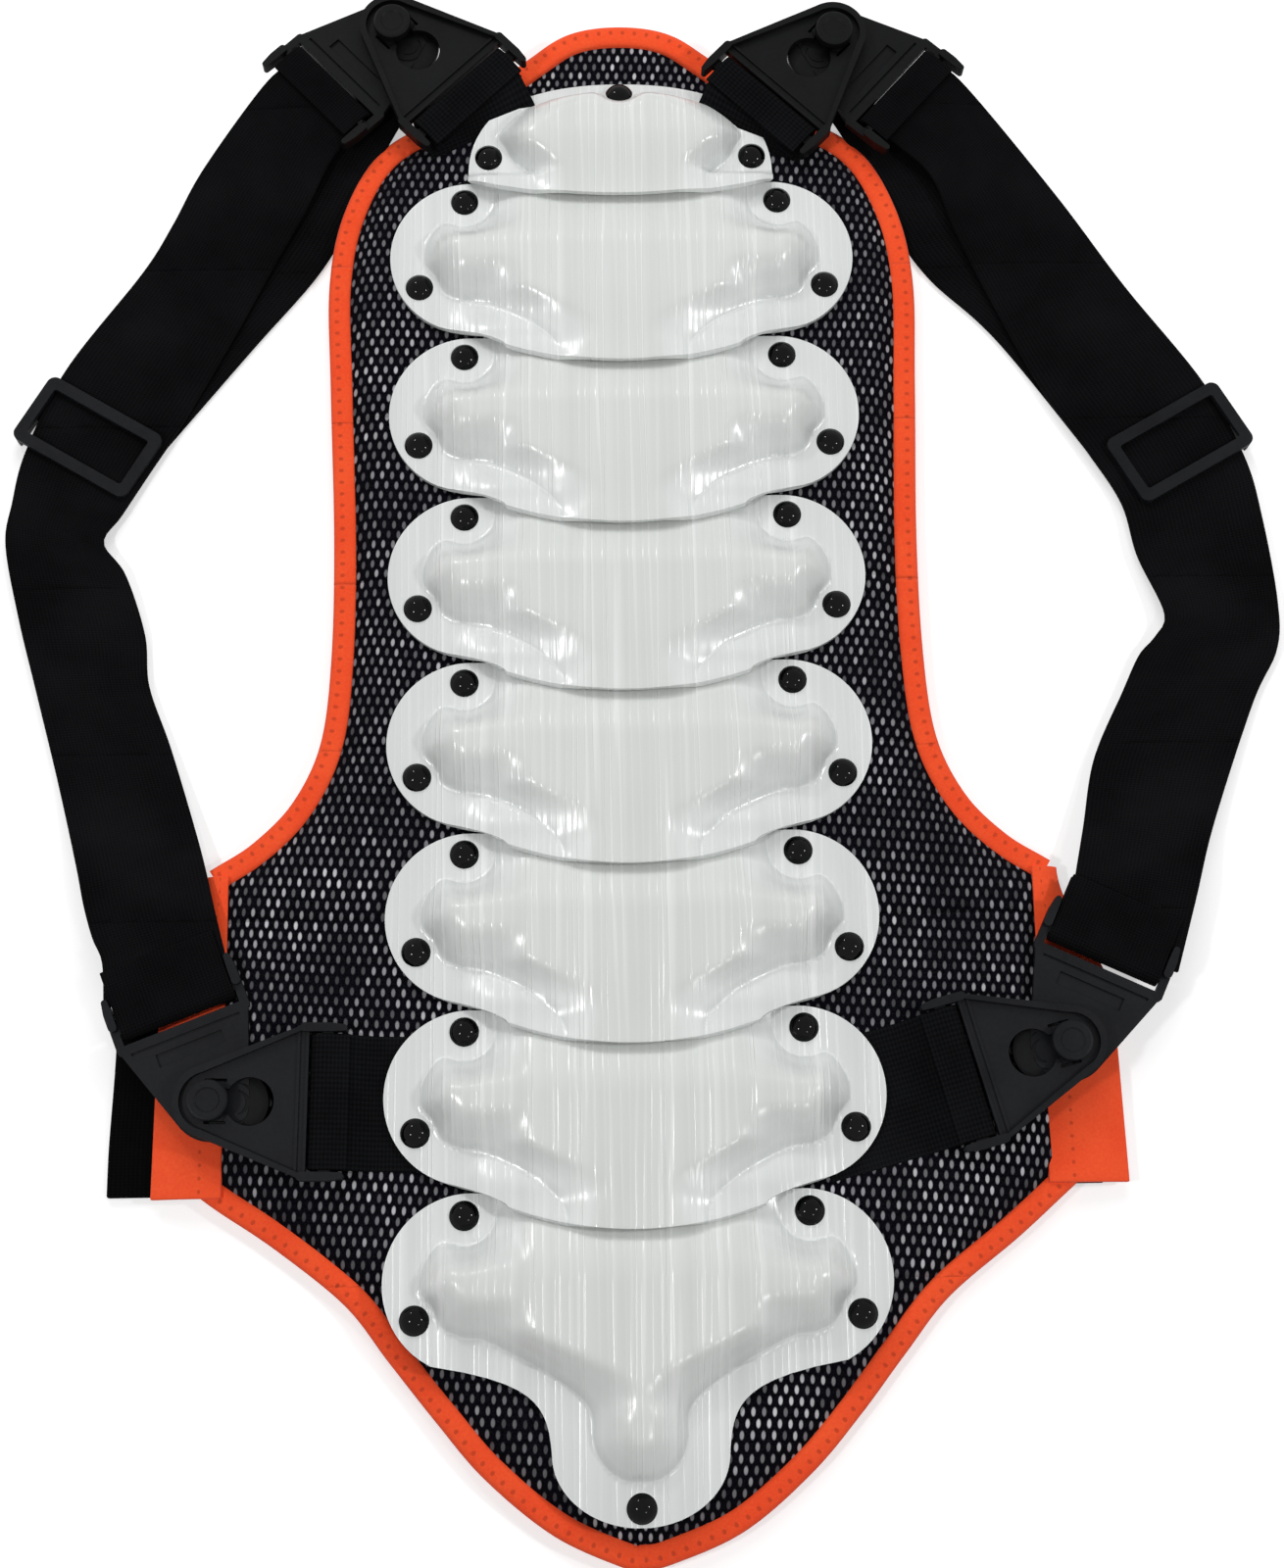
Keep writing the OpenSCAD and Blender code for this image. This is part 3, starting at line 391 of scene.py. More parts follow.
# The stitch spots are darker: painted shade in the dimples.
stitch_painted_shade = add_node(orange, "MixRGB", {0: stitch, 1: cloth, 2: hex_colour("#B83A19")})
fine = add_node(orange, "Math", {0: weave, 1: 0.25}, operation="MULTIPLY")
dimpled = add_node(orange, "Math", {0: fine, 1: stitch}, operation="SUBTRACT")
wire(orange, shader, stitch_painted_shade, dimpled, 0.4, 0.0004)
print(orange.name, len(orange.node_tree.nodes), "nodes")

# %% [markdown]
# Straps: black knitted elastic. Rubber cords run along it about a millimetre apart and pull the
# cover into fine ribs, with a close cross rib between. The webbing at the shoulders and the
# waist is a coarser flat weave, and the belt a darker elastic. The three differ only in rib and
# colour, so one recipe makes them all.

# %% Black elastic and webbing
def ribbed_black(name, rib, cross, dark, light, rough):
    """rib and cross are the gaps in metres. A wave repeats every 0.314 divided by its scale."""
    band, shader = new_material(name, Roughness=rough, Specular_IOR_Level=0.03)
    uv = add_node(band, "TexCoord").outputs["UV"]
    cords = add_node(band, "TexWave", {"Vector": uv, "Scale": 0.314 / rib, "Distortion": 0.4})
    turns = add_node(band, "TexWave", {"Vector": uv, "Scale": 0.314 / cross, "Distortion": 0.6},
                     bands_direction="Y")
    fuzz = add_node(band, "TexNoise", {"Vector": uv, "Scale": 900.0, "Detail": 3.0})
    patch = add_node(band, "TexNoise", {"Vector": uv, "Scale": 25.0, "Detail": 3.0})
    weave = add_node(band, "Math", {0: cords, 1: turns}, operation="ADD")
    height = add_node(band, "Math", {0: fuzz, 1: 1.2, 2: weave}, operation="MULTIPLY_ADD")
    tone = add_node(band, "Math", {0: height, 1: 0.16, 2: patch}, operation="MULTIPLY_ADD")
    black = add_node(band, "ValToRGB", {0: tone}, stops=[(0.55, dark), (1.0, light)])
    wire(band, shader, black, height, 0.3, 0.0003)
    print(name, "ribs every", rib / MM, "mm")
    return band

elastic = ribbed_black("black_knitted_elastic", 0.0011, 0.0009, "#050506", "#141416", 0.8)
webbing = ribbed_black("black_woven_webbing", 0.0016, 0.0012, "#050506", "#17181A", 0.7)
belt_elastic = ribbed_black("black_belt_elastic", 0.0014, 0.001, "#030303", "#0C0C0D", 0.85)

# %% [markdown]
# Buckles and adjusters: glass-filled nylon, injection moulded and almost matt, with the faint
# grain of the mould and duller patches. The shoulder pair is blacker than the waist pair.

# %% Moulded nylon
def moulded_nylon(name, dark, light):
    nylon, shader = new_material(name, Roughness=0.5, IOR=1.53, Specular_IOR_Level=0.1)
    place = add_node(nylon, "TexCoord").outputs["Object"]
    grain = add_node(nylon, "TexNoise", {"Vector": place, "Scale": 700.0, "Detail": 3.0})
    cloud = add_node(nylon, "TexNoise", {"Vector": place, "Scale": 70.0, "Detail": 3.0})
    both = add_node(nylon, "Math", {0: grain, 1: 0.5, 2: cloud}, operation="MULTIPLY_ADD")
    grey = add_node(nylon, "ValToRGB", {0: both}, stops=[(0.5, dark), (1.0, light)])
    polish = add_node(nylon, "MapRange", {0: cloud, 1: 0.3, 2: 0.7, 3: 0.4, 4: 0.58})
    nylon.node_tree.links.new(polish.outputs[0], shader.inputs["Roughness"])
    wire(nylon, shader, grey, grain, 0.2, 0.0002)
    print(name, "from", dark, "to", light)
    return nylon

grey_nylon = moulded_nylon("moulded_grey_nylon", "#0D0E10", "#191A1D")
black_nylon = moulded_nylon("moulded_black_nylon", "#060607", "#0F1011")

# %% [markdown]
# The construction model's pieces get their finishes by name. Most are replaced by finer pieces
# later; the buckles, the adjusters and the rivets stay as they are.

# %% Finishes of the construction model's pieces
def finish_piece(piece, material):
    piece.data.materials.clear()
    piece.data.materials.append(material)

for name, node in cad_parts.items():
    if name.startswith(("keyhole_plate", "stud_plate", "adjuster")):
        finish = black_nylon if "shoulder" in name else grey_nylon
    elif name.startswith("rivets"):
        finish = enamel
    elif name.startswith("pad"):
        finish = air_mesh
    elif name.startswith(("binding", "side_tabs")):
        finish = orange
    elif name.startswith("plate"):
        finish = white_pp
    elif name.startswith("strap"):
        finish = elastic
    else:
        finish = webbing
    for slot in node.material_slots:
        slot.material = finish
print(len(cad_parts), "nodes have a finish")

# %% [markdown]
# The spine plates are moulded polypropylene shells: a flat rim with round lobes, and a hollow
# crown that swells from each lobe into a broad tongue. The tongue laps over the next plate.
# The crown could be sculpted, or lofted between a few drawn sections. Here a fine grid is laid
# over the plate's outline and lifted by the height of the crown, as clay is pressed into a
# mould, then given its wall and a rounded edge.

# %% Sizes of the spine plates: pitch, wall, lobes, crown, tongue, tail, top plate, rivets
PITCH, SECTIONS, ROOT = 58, 8, 7
PLATE_Z, WALL = 10.1, 2.2
LOBE_R, LOBE_X = 28, 52
RIM_W, CROWN_H, CROWN_RUN = 11.5, 11.5, 13.5
CROWN_START, CROWN_SLOPE, TOP_RUN = 3, 28, 10.5
FLARE_Y, CORNER_Y, TONGUE_HW, TONGUE_SAG = -27, -35, 40, 7.5
TAIL_FLARE_Y, TAIL_FLARE_HW = -24.92, 64.77
TAIL_HW, TAIL_NECK_Y, TAIL_Y = 27, -52, -74
TOP_HW, TOP_Y, TOP_RISE, TOP_POWER = 53, -27, 38.4, 2.2
NECK_SLOPE_Y, NECK_SLOPE = -1, math.tan(math.radians(25))
FLARE_HW = LOBE_X + math.sqrt(LOBE_R ** 2 - FLARE_Y ** 2)
UPPER_RIVET, LOWER_RIVET, TAIL_RIVET = (54.35, 21), (69.9, -11), (0, TAIL_Y + 5.7)
SIDE_RIVET, NECK_RIVET = (46, -20), (0, 6.5)
FLANK_HW, TAIL_FOOT_Y, TAIL_FOOT_HW = 46, -46, 16.5
UPPER_LAND, LOWER_LAND, NECK_LAND = 9.2, 6.6, 5.2

def mid_y(k):
    return (ROOT - k) * PITCH

# %% Half width of each kind of plate
def spine_hw(y):
    if y > FLARE_Y:
        return LOBE_X + math.sqrt(max(0, LOBE_R ** 2 - y * y))
    flare = max(0, 1 - (FLARE_Y - y) / (FLARE_Y - CORNER_Y)) ** 1.5
    return TONGUE_HW + (FLARE_HW - TONGUE_HW) * flare

def tail_side_hw(y):
    return TAIL_HW + (TAIL_FLARE_HW - TAIL_HW) * math.exp((y - TAIL_FLARE_Y) / 6)

def plate_hw(k, y):
    if k == 1:
        if y < TOP_Y:
            return TOP_HW
        return TOP_HW * max(0, 1 - ((y - TOP_Y) / TOP_RISE) ** TOP_POWER) ** (1 / TOP_POWER)
    if k < SECTIONS or y > TAIL_FLARE_Y:
        return spine_hw(y)
    if y > TAIL_NECK_Y:
        return tail_side_hw(y)
    reach = (TAIL_NECK_Y - y) / (TAIL_NECK_Y - TAIL_Y)
    return tail_side_hw(TAIL_NECK_Y) * math.sqrt(max(0, 1 - reach ** 2))

# %% [markdown]
# The crown swells with the depth: how far a point lies inside the crown's outline. A soft
# maximum joins lobes and body, and a soft minimum keeps flat land round each rivet.

# %% Depth inside the crown's outline
def soft_max(a, b, k):
    return max(a, b) + max(k - abs(a - b), 0) ** 2 / (4 * k)

def soft_min(a, b, k):
    return -soft_max(-a, -b, k)

def swell(t):
    return math.sin(math.pi / 2 * share_of(t))

def off_land(depth, x, y, rivet, radius):
    return soft_min(depth, 1.25 * (math.hypot(abs(x) - rivet[0], y - rivet[1]) - radius), 3)

def off_lands(k, depth, x, y):
    """Keeps the crown off the flat lands round the rivets of plate k."""
    depth = off_land(depth, x, y, UPPER_RIVET, UPPER_LAND)
    depth = off_land(depth, x, y, LOWER_RIVET, LOWER_LAND)
    return off_land(depth, x, y, TAIL_RIVET, LOWER_LAND) if k == SECTIONS else depth

def top_depth(x, y):
    if y < TOP_Y:
        body = TOP_HW - 4.5 - abs(x)
    else:
        body = (1 - ((abs(x) / TOP_HW) ** TOP_POWER + (abs(y - TOP_Y) / TOP_RISE) ** TOP_POWER)
                ** (1 / TOP_POWER)) * TOP_RISE - 4.5
    waist = TOP_HW - 1 - 22 * (1 - ease((y + 31) / 24))
    return soft_min(body, 0.8 * (waist - abs(x)), 3)

def flank_depth(x, y, low_hw, low_y, spread):
    """Distance to a side that widens from low_hw to the lobe over spread, measured square."""
    t, grown = share_of((y - low_y) / spread), FLANK_HW - low_hw
    return (low_hw + grown * ease(t) - abs(x)) / math.hypot(1, 6 * t * (1 - t) * grown / spread)

def spine_depth(k, x, y):
    if k < SECTIONS:
        return flank_depth(x, y, 24, -38, 24)
    if y > TAIL_FOOT_Y:
        return flank_depth(x, y, TAIL_FOOT_HW, -42, 28)
    return TAIL_FOOT_HW - math.hypot(x, y - TAIL_FOOT_Y)

def crown_form(k, x, y):
    """The share of the crown's height: the lobes and the body join in one soft outline."""
    if k == 1:
        depth = off_land(top_depth(x, y), x, y, SIDE_RIVET, LOWER_LAND)
        return swell(off_land(depth, x, y, NECK_RIVET, NECK_LAND) / TOP_RUN)
    lobe = LOBE_R - RIM_W - math.hypot(max(abs(x) - LOBE_X, 0), y)
    foot = soft_max(lobe, spine_depth(k, x, y) - 1.5, 10)
    return swell(off_lands(k, foot, x, y) / CROWN_RUN)

# %% Heights of the crown and the rim
def crown_under(y):
    """Height of the crown of the plate below, at y of this plate."""
    return CROWN_START + (CROWN_H - CROWN_START) * ease((LOBE_R - y - PITCH) / CROWN_SLOPE)

def lap_rise(y):
    """How far the rim climbs to pass over the plate below."""
    return crown_under(y) + WALL + 0.6

TIP_H = (lap_rise(-38) + 1.2, lap_rise(CORNER_Y - TONGUE_SAG) + 1.2)

def plate_top(k, x, y):
    high = CROWN_H if k == 1 else crown_under(y - PITCH)
    if k == SECTIONS:
        rise = 0
        high *= 1 - 0.3 * ease((-30 - y) / 35)
    else:
        if k == 1:
            rise = lap_rise(y) * ease((-25.5 - y) / 4.5) * ease((TOP_HW + 9 - abs(x)) / 14)
        else:
            rise = lap_rise(y) * ease((LOWER_RIVET[0] - 4 - abs(x)) / 24) * ease((-13 - y) / 17)
        high += (TIP_H[k > 1] - high) * ease((-14 - y) / 24)
    fall = NECK_SLOPE * max(0, y - NECK_SLOPE_Y) if k == 1 else 0
    return PLATE_Z + WALL + rise + (high - rise) * crown_form(k, x, y) - fall

# %% One plate from a grid
ROUND_TOP = 0.06

def row_sag(k, y):
    """The rows bow downwards in the middle, as the tongue's edge does."""
    if k == 1:
        return 7 * ease((-5 - y) / 26)
    return 0 if k == SECTIONS else TONGUE_SAG * ease((10 - y) / (10 - CORNER_Y))

def plate_row(k, v):
    """Rows crowd towards the round top, where the outline turns fastest."""
    top, low = LOBE_R - ROUND_TOP, CORNER_Y
    if k == 1:
        top, low = TOP_Y + TOP_RISE - ROUND_TOP, -31
    if k == SECTIONS:
        low = TAIL_Y + ROUND_TOP
        return low + (top - low) * (1 - math.cos(math.pi * v)) / 2
    return low + (top - low) * math.sin(math.pi / 2 * v)

def plate_place(k):
    def place(u, v):
        y = plate_row(k, v)
        f = 2 * u - 1
        f = math.copysign(1 - (1 - abs(f)) ** 1.15, f)
        x = f * plate_hw(k, y)
        local = y - row_sag(k, y) * (1 - f * f)
        return x, mid_y(k) + local, plate_top(k, x, local)
    return place

def make_plate(k):
    plate = sheet_piece(f"plate_{k}_shell", 120, 84, plate_place(k))
    # The crown's height share is kept for the plastic's ramp, which paints shade and highlights
    # from it.
    crown = plate.data.attributes.new("crown", "FLOAT", "POINT")
    for point in plate.data.vertices:
        x, y = point.co.x / MM, point.co.y / MM - mid_y(k)
        crown.data[point.index].value = crown_form(k, x, y)
    finish_with(plate, "SOLIDIFY", thickness=WALL * MM, offset=-1, use_even_offset=False)
    round_edges(plate, 0.55, angle=50, segments=3)
    smooth(plate, 40)
    return plate

plates = {k: make_plate(k) for k in range(1, SECTIONS + 1)}
for k, plate in plates.items():
    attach(plate, f"section_{k}")
    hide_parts(f"plate_{k}")
    print(plate.name, len(plate.data.vertices), "points")

# %% [markdown]
# Rivet heads: a domed steel head under a glossy enamel skin. The head has few faces, and its
# mirror images would show their corners. So the skin is a disc of rings and spokes bent over the
# head, a hair above it, and mirrors each lamp as a round dot.

# %% Enamel skins
HEAD_R, HEAD_H, SKIN = 4.7, 2.6, 0.08
HEAD_Z = PLATE_Z + WALL + 0.02
CAP_R = (HEAD_R ** 2 + HEAD_H ** 2) / (2 * HEAD_H)

def enamel_skin(name, x, y, z, lean=0.0):
    def place(u, v):
        r, turn = (HEAD_R + 0.04) * v, 2 * math.pi * u
        up = HEAD_H + SKIN - CAP_R + math.sqrt(CAP_R ** 2 - min(r, HEAD_R) ** 2)
        dy = r * math.sin(turn)
        return (x + r * math.cos(turn), y + dy * math.cos(lean) + up * math.sin(lean),
                z - dy * math.sin(lean) + up * math.cos(lean))
    skin = sheet_piece(name, 40, 10, place)
    outward(skin, merge=1e-5)
    smooth(skin, 80)
    return skin

# %% The skins of each plate, joined
skins = []
for k in range(1, SECTIONS + 1):
    spots = [SIDE_RIVET] if k == 1 else [UPPER_RIVET, LOWER_RIVET]
    heads = [enamel_skin(f"rivet_enamel_{k}", side * x, mid_y(k) + y, HEAD_Z)
             for x, y in spots for side in (1, -1)]
    if k == SECTIONS:
        heads.append(enamel_skin("rivet_enamel", 0, mid_y(k) + TAIL_RIVET[1], HEAD_Z))
    if k == 1:
        fall = NECK_SLOPE * (NECK_RIVET[1] - NECK_SLOPE_Y)
        heads.append(enamel_skin("rivet_enamel", 0, mid_y(k) + NECK_RIVET[1], HEAD_Z - fall,
                                 math.atan(NECK_SLOPE)))
    only(*heads)
    bpy.ops.object.join()
    skin = bpy.context.object
    skin.name = f"rivet_enamel_{k}"
    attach(skin, f"section_{k}")
    skins.append(skin)
print(len(skins), "sections with enamelled rivets")

# %% [markdown]
# The back panel is one piece of foam inside air mesh. Its edge runs from the neck over the
# shoulder blades, widens at the hips and ends in a round point. It could be drawn as a curve
# object; here it is worked out through a few chosen points, because height, width and binding
# all need the same line. Its upper part is the same on both sides, its lower part not quite.

# %% The panel's edge
PANEL_UPPER = [
    (0, 379.5), (16, 377), (30, 367.5), (53, 349), (79.8, 333.5), (92.7, 311.5), (97.8, 284),
    (96.9, 245), (95, 190), (95.4, 148), (98.7, 118), (108, 97), (121.5, 82.5), (136, 73)]
LOWER_RIGHT = [
    (138.8, -25.6), (133, -30.6), (118.5, -43), (95.7, -61), (80.5, -79), (66, -97), (50.5, -114),
    (29.8, -130.5), (8, -139.5), (0, -140.8)]
LOWER_LEFT = [
    (-4, -140.5), (-25, -131), (-45.5, -114.5), (-60.3, -97.5), (-75.2, -79), (-89.5, -61),
    (-112, -43), (-130, -31), (-137, -26)]
PAD_T, NECK_T, BINDING_W = 10, 4.2, 8

def curve_through(points, steps):
    """A smooth line through all points, with that many steps between each two."""
    p = [Vector(q) for q in points]
    p = [2 * p[0] - p[1]] + p + [2 * p[-1] - p[-2]]
    line = []
    for i in range(1, len(p) - 2):
        for j in range(steps):
            t = j / steps
            line.append(0.5 * (2 * p[i] + (p[i + 1] - p[i - 1]) * t
                               + (2 * p[i - 1] - 5 * p[i] + 4 * p[i + 1] - p[i + 2]) * t * t
                               + (3 * p[i] - p[i - 1] - 3 * p[i + 1] + p[i + 2]) * t ** 3))
    return line + [p[-2]]

def mirrored(points):
    return [(-x, y) for x, y in reversed(points[1:])] + list(points)

upper_edge = curve_through(mirrored(PANEL_UPPER), 10)
lower_edge = curve_through(LOWER_RIGHT + LOWER_LEFT, 10)
whole_edge = np.array([(p.x, p.y) for p in upper_edge + lower_edge])

def edge_x(y, side):
    points = sorted((q, p) for p, q in whole_edge if p * side >= 0)
    return float(np.interp(y, [q for q, p in points], [p for q, p in points]))

def edge_distance(x, y):
    a, b = whole_edge, np.roll(whole_edge, -1, axis=0)
    d = b - a
    along = (x - a[:, 0]) * d[:, 0] + (y - a[:, 1]) * d[:, 1]
    t = np.clip(along / np.maximum((d ** 2).sum(1), 1e-9), 0, 1)
    return float(np.hypot(a[:, 0] + t * d[:, 0] - x, a[:, 1] + t * d[:, 1] - y).min())

# %% [markdown]
# The foam is full in the middle and squeezed flat where the binding clamps it. Beside the
# binding it stands a little proud, and it runs out towards the neck. Cloth simulation is the
# usual way for padding, but this panel is riveted flat and bound all round, and its strips
# have to meet exactly, so its height is worked out from the distance to the edge.

# %% The foam panel in its mesh cover
EDGE_Z, PANEL_LOW, PANEL_TOP, IN_TAPE = 3.4, -139.6, 378.4, 1.2
NECK_FALL_Y, NECK_FALL = 343, 22
CLAMP_W, ROLL_W, PROUD, PROUD_W = 2.5, 12, 0.5, 26

def panel_height(x, y):
    d = edge_distance(x, y)
    full = PAD_T - (PAD_T - NECK_T) * ease((y - NECK_FALL_Y) / NECK_FALL)
    roll = 1 - share_of((d - CLAMP_W) / ROLL_W)
    side = math.sin(math.pi * share_of((d - 3) / PROUD_W))
    return EDGE_Z + (full - EDGE_Z) * (1 - roll ** 2.3) + PROUD * side

def panel_place(u, v):
    """Rows and columns crowd towards the edge. The sheet ends inside the tape."""
    y = PANEL_LOW + (PANEL_TOP - PANEL_LOW) * (1 - math.cos(math.pi * v)) / 2
    f = 2 * u - 1
    f = math.copysign(1 - (1 - abs(f)) ** 1.35, f)
    left, right = edge_x(y, -1), edge_x(y, 1)
    x = (left + right) / 2 + f * ((right - left) / 2 - IN_TAPE)
    return x, y, panel_height(x, y)

def close_below(piece, low):
    """Extrudes a sheet down to a flat underside."""
    edit_all(piece)
    bpy.ops.mesh.extrude_region_move(TRANSFORM_OT_translate={"value": (0, 0, -0.02)})
    bpy.ops.object.mode_set(mode="OBJECT")
    for point in piece.data.vertices:
        if point.select:
            point.co.z = low * MM
    outward(piece)

panel = sheet_piece("panel", 130, 170, panel_place)
close_below(panel, 0.4)
smooth(panel, 50)
print("the panel:", len(panel.data.vertices), "points")

# %% [markdown]
# The panel bends at seven lines, but a piece can bend between two bodies only. So it is cut
# across the middle of every plate, where nothing bends, and each strip holds one line.

# %% Copying and cutting a soft piece
def copy_piece(piece, name):
    twin = piece.copy()
    twin.data = piece.data.copy()
    twin.name = twin.data.name = name
    bpy.context.scene.collection.objects.link(twin)
    return twin

def cut(piece, y, keep_above):
    edit_all(piece)
    bpy.ops.mesh.bisect(plane_co=(0, y * MM, 0), plane_no=(0, 1, 0), use_fill=True,
                        clear_inner=keep_above, clear_outer=not keep_above)
    bpy.ops.object.mode_set(mode="OBJECT")

# %% Strips between the bending lines
BEND_HALF, FAR = 8, 1e4

def strips(piece, name, replaced):
    """Cuts a piece at the middles of the sections; strip k holds the line between sections k and k
    + 1.
    """
    made = []
    ys = [p.co.y / MM for p in piece.data.vertices]
    for k in range(0, SECTIONS + 1):
        top = mid_y(k) if k else FAR
        low = mid_y(k + 1) if k < SECTIONS else -FAR
        if max(ys) <= low + 0.01 or min(ys) >= top - 0.01:
            continue
        strip = copy_piece(piece, f"{name}_{k + 1}")
        if k:
            cut(strip, top, keep_above=False)
        if k < SECTIONS:
            cut(strip, low, keep_above=True)
        if not strip.data.vertices:
            bpy.data.objects.remove(strip)
            continue
        if k in (0, SECTIONS):
            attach(strip, f"section_{max(k, 1)}")
        else:
            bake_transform(strip)
        for node in replaced(k):
            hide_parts(node)
        made.append(strip)
    bpy.data.objects.remove(piece)
    return made

panel_strips = strips(panel, "panel",
                      lambda k: [f"pad_{k + 1}"] if k < SECTIONS else [])
print(len(panel_strips), "panel strips")

# %% [markdown]
# The panel's raw edge is wrapped in a folded tape, stitched through. It could be a bevelled
# curve, but its flat oval section lies on one side of the edge and swells a little, so it is
# laid out along the edge as a sheet that closes on itself. Its two lengths end under the tabs.

# %% Sweeping a section along a line
def sweep(name, line, section, across, along):
    """section gives (outward, up) for a share of its girth; line is a list of 2D points."""
    pts = np.array([(p[0], p[1]) for p in line])
    run = np.concatenate([[0], np.cumsum(np.hypot(*np.diff(pts, axis=0).T))])
    tangent = np.gradient(pts, axis=0)
    tangent /= np.linalg.norm(tangent, axis=1)[:, None]
    def place(u, v):
        s = v * run[-1]
        x, y = np.interp(s, run, pts[:, 0]), np.interp(s, run, pts[:, 1])
        tx, ty = np.interp(s, run, tangent[:, 0]), np.interp(s, run, tangent[:, 1])
        out, up = section(u, s)
        return x - ty * out, y + tx * out, up
    girth = 2 * BINDING_W + 8
    piece = sheet_piece(name, across, along, place, size=(girth, run[-1]))
    outward(piece, merge=1e-5)
    smooth(piece, 60)
    return piece

# %% The binding tape
TAPE_FLAT, TAPE_HALF_T, TAPE_Z = 0.62, 2.75, 3.0

def tape_section(u, s):
    """Flat oval, widest over the panel; the girth starts at the inner lower side."""
    a = 2 * math.pi * u
    c, n = math.cos(a), math.sin(a)
    x = math.copysign(abs(c) ** TAPE_FLAT, c) * BINDING_W / 2
    z = math.copysign(abs(n) ** TAPE_FLAT, n)
    wave = 0.12 * math.sin(s / 9.0) + 0.1 * math.sin(s / 3.7 + 1)
    high = TAPE_HALF_T + 0.25 * math.sin(s / 31.0) + wave
    return BINDING_W / 2 - (x + BINDING_W / 2), TAPE_Z + z * high

upper_tape = sweep("binding_upper", [tuple(p) for p in upper_edge], tape_section, 28, 520)
lower_tape = sweep("binding_lower", [tuple(p) for p in lower_edge], tape_section, 28, 300)
tape_strips = strips(upper_tape, "binding_upper",
                     lambda k: [f"binding_{k + 1}"] if k < 6 else [])
tape_strips += strips(lower_tape, "binding_lower",
                      lambda k: ["binding_8"] if k == SECTIONS else [])
print(len(tape_strips), "binding strips")

# %% [markdown]
# A strap is a flat elastic band. A curve could carry it, but a loose strap also turns on its
# side and looks narrower there, so it is laid out between the lines of its two edges. From the
# shoulder to the adjuster it is doubled, below the adjuster it is single.

# %% A band between two edges
STRAP_W, STRAP_T, BACK_T = 38, 1.5, 1.3

def even_points(points, count):
    line = np.array([tuple(p) for p in curve_through(points, 12)])
    run = np.concatenate([[0], np.cumsum(np.linalg.norm(np.diff(line, axis=0), axis=1))])
    at = np.linspace(0, run[-1], count)
    return np.stack([np.interp(at, run, line[:, i]) for i in range(3)], axis=1), run[-1]

def band(name, outer, inner, thick, along, crown=0.0):
    """A strap whose middle stands crown higher than its edges."""
    a, length = even_points(outer, along + 1)
    b, _ = even_points(inner, along + 1)
    def place(u, v):
        i = min(along, int(round(v * along)))
        p = a[i] * (1 - u) + b[i] * u
        return p[0], p[1], p[2] + thick / 2 + crown * math.sin(math.pi * u)
    piece = sheet_piece(name, 14, along, place, size=(STRAP_W, length))
    outward(piece)
    give_wall(piece, thick, 0.4)
    smooth(piece, 50)
    return piece

# %% Edges of the two straps
LEFT_OUTER = [
    (-114, 366, 11.2), (-124.5, 358, 10.2), (-146, 327.6, 6), (-157, 307, 3), (-167, 289.6, 2),
    (-192, 254, 1.8), (-204.6, 224, 2.2), (-208.5, 205, 2), (-210, 190, 2), (-204.5, 164, 1.8),
    (-198, 140, 1.8), (-189, 107, 2), (-181, 78, 7), (-177.5, 64, 9.4), (-174, 53, 10.6),
    (-170.5, 45, 11.2), (-169.5, 30, 11.2)]
LEFT_INNER = [
    (-89, 341, 11.2), (-100, 331, 9), (-110, 312, 5), (-122, 290, 2.4), (-134, 266, 2),
    (-150, 236, 1.8), (-163, 214, 2.2), (-171, 200, 3), (-176.5, 190, 4.2), (-169, 179, 3),
    (-162, 158, 1.8), (-160, 140, 1.8), (-152, 118, 2), (-141, 84, 6), (-135, 62, 10.4),
    (-130, 43, 11.2)]
RIGHT_OUTER = [
    (111, 364, 11.2), (122, 356, 10.2), (153, 316, 5), (176, 282, 2), (201, 246, 1.8),
    (213.5, 218, 2.2), (218, 196, 2), (221, 166, 1.8), (219.5, 148.5, 1.8), (210, 130, 1.8),
    (193, 88, 5), (184, 62, 10.4), (176, 37, 11.2)]
RIGHT_INNER = [
    (87, 339.5, 11.2), (100, 331, 9), (110, 321, 7), (117, 303, 4), (129, 276, 2.2),
    (145, 243, 1.8), (160, 219, 2.2), (170, 201, 2), (174, 182, 2.6), (181.5, 161, 4.4),
    (178, 153, 3), (172.5, 147, 2), (166, 134, 1.8), (155, 111, 2), (149, 86, 6),
    (142.5, 60, 10.4), (139, 47, 11.2)]

# %% Edges of the second layers, outer and inner
BACK = {
    "left": ([(-114, 354, 5.5), (-143, 322, 2.4), (-162, 292, 0.3), (-190, 252, 0.2),
              (-199, 232, 0.2)],
             [(-73, 352, 5.5), (-79, 341, 5.5), (-86, 328.5, 3), (-95.5, 308, 0.5),
              (-107, 288, 0.3), (-128, 262, 0.2), (-158, 224, 0.2)]),
    "right": ([(112, 352, 5.5), (148, 318, 2.4), (172, 284, 0.3), (198, 246, 0.2),
               (208, 226, 0.2)],
              [(72, 350, 5.5), (78, 340, 5.5), (85.5, 327.5, 3), (95.5, 306, 0.5),
               (108, 286, 0.3), (131, 262, 0.2), (166, 212, 0.2)])}

# %% The two straps, cut into strips
def strap_parts(side, outer, inner):
    front = band(f"strap_{side}", outer, inner, STRAP_T, 150, crown=0.5)
    made = strips(front, f"strap_{side}", lambda k: [])
    back = band(f"strap_{side}_back", *BACK[side], BACK_T, 70)
    return made + strips(back, f"strap_{side}_back", lambda k: [])

strap_strips = strap_parts("left", LEFT_OUTER, LEFT_INNER)
strap_strips += strap_parts("right", RIGHT_OUTER, RIGHT_INNER)
for k in range(2, 7):
    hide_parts(f"straps_{k}")
print(len(strap_strips), "strap strips")

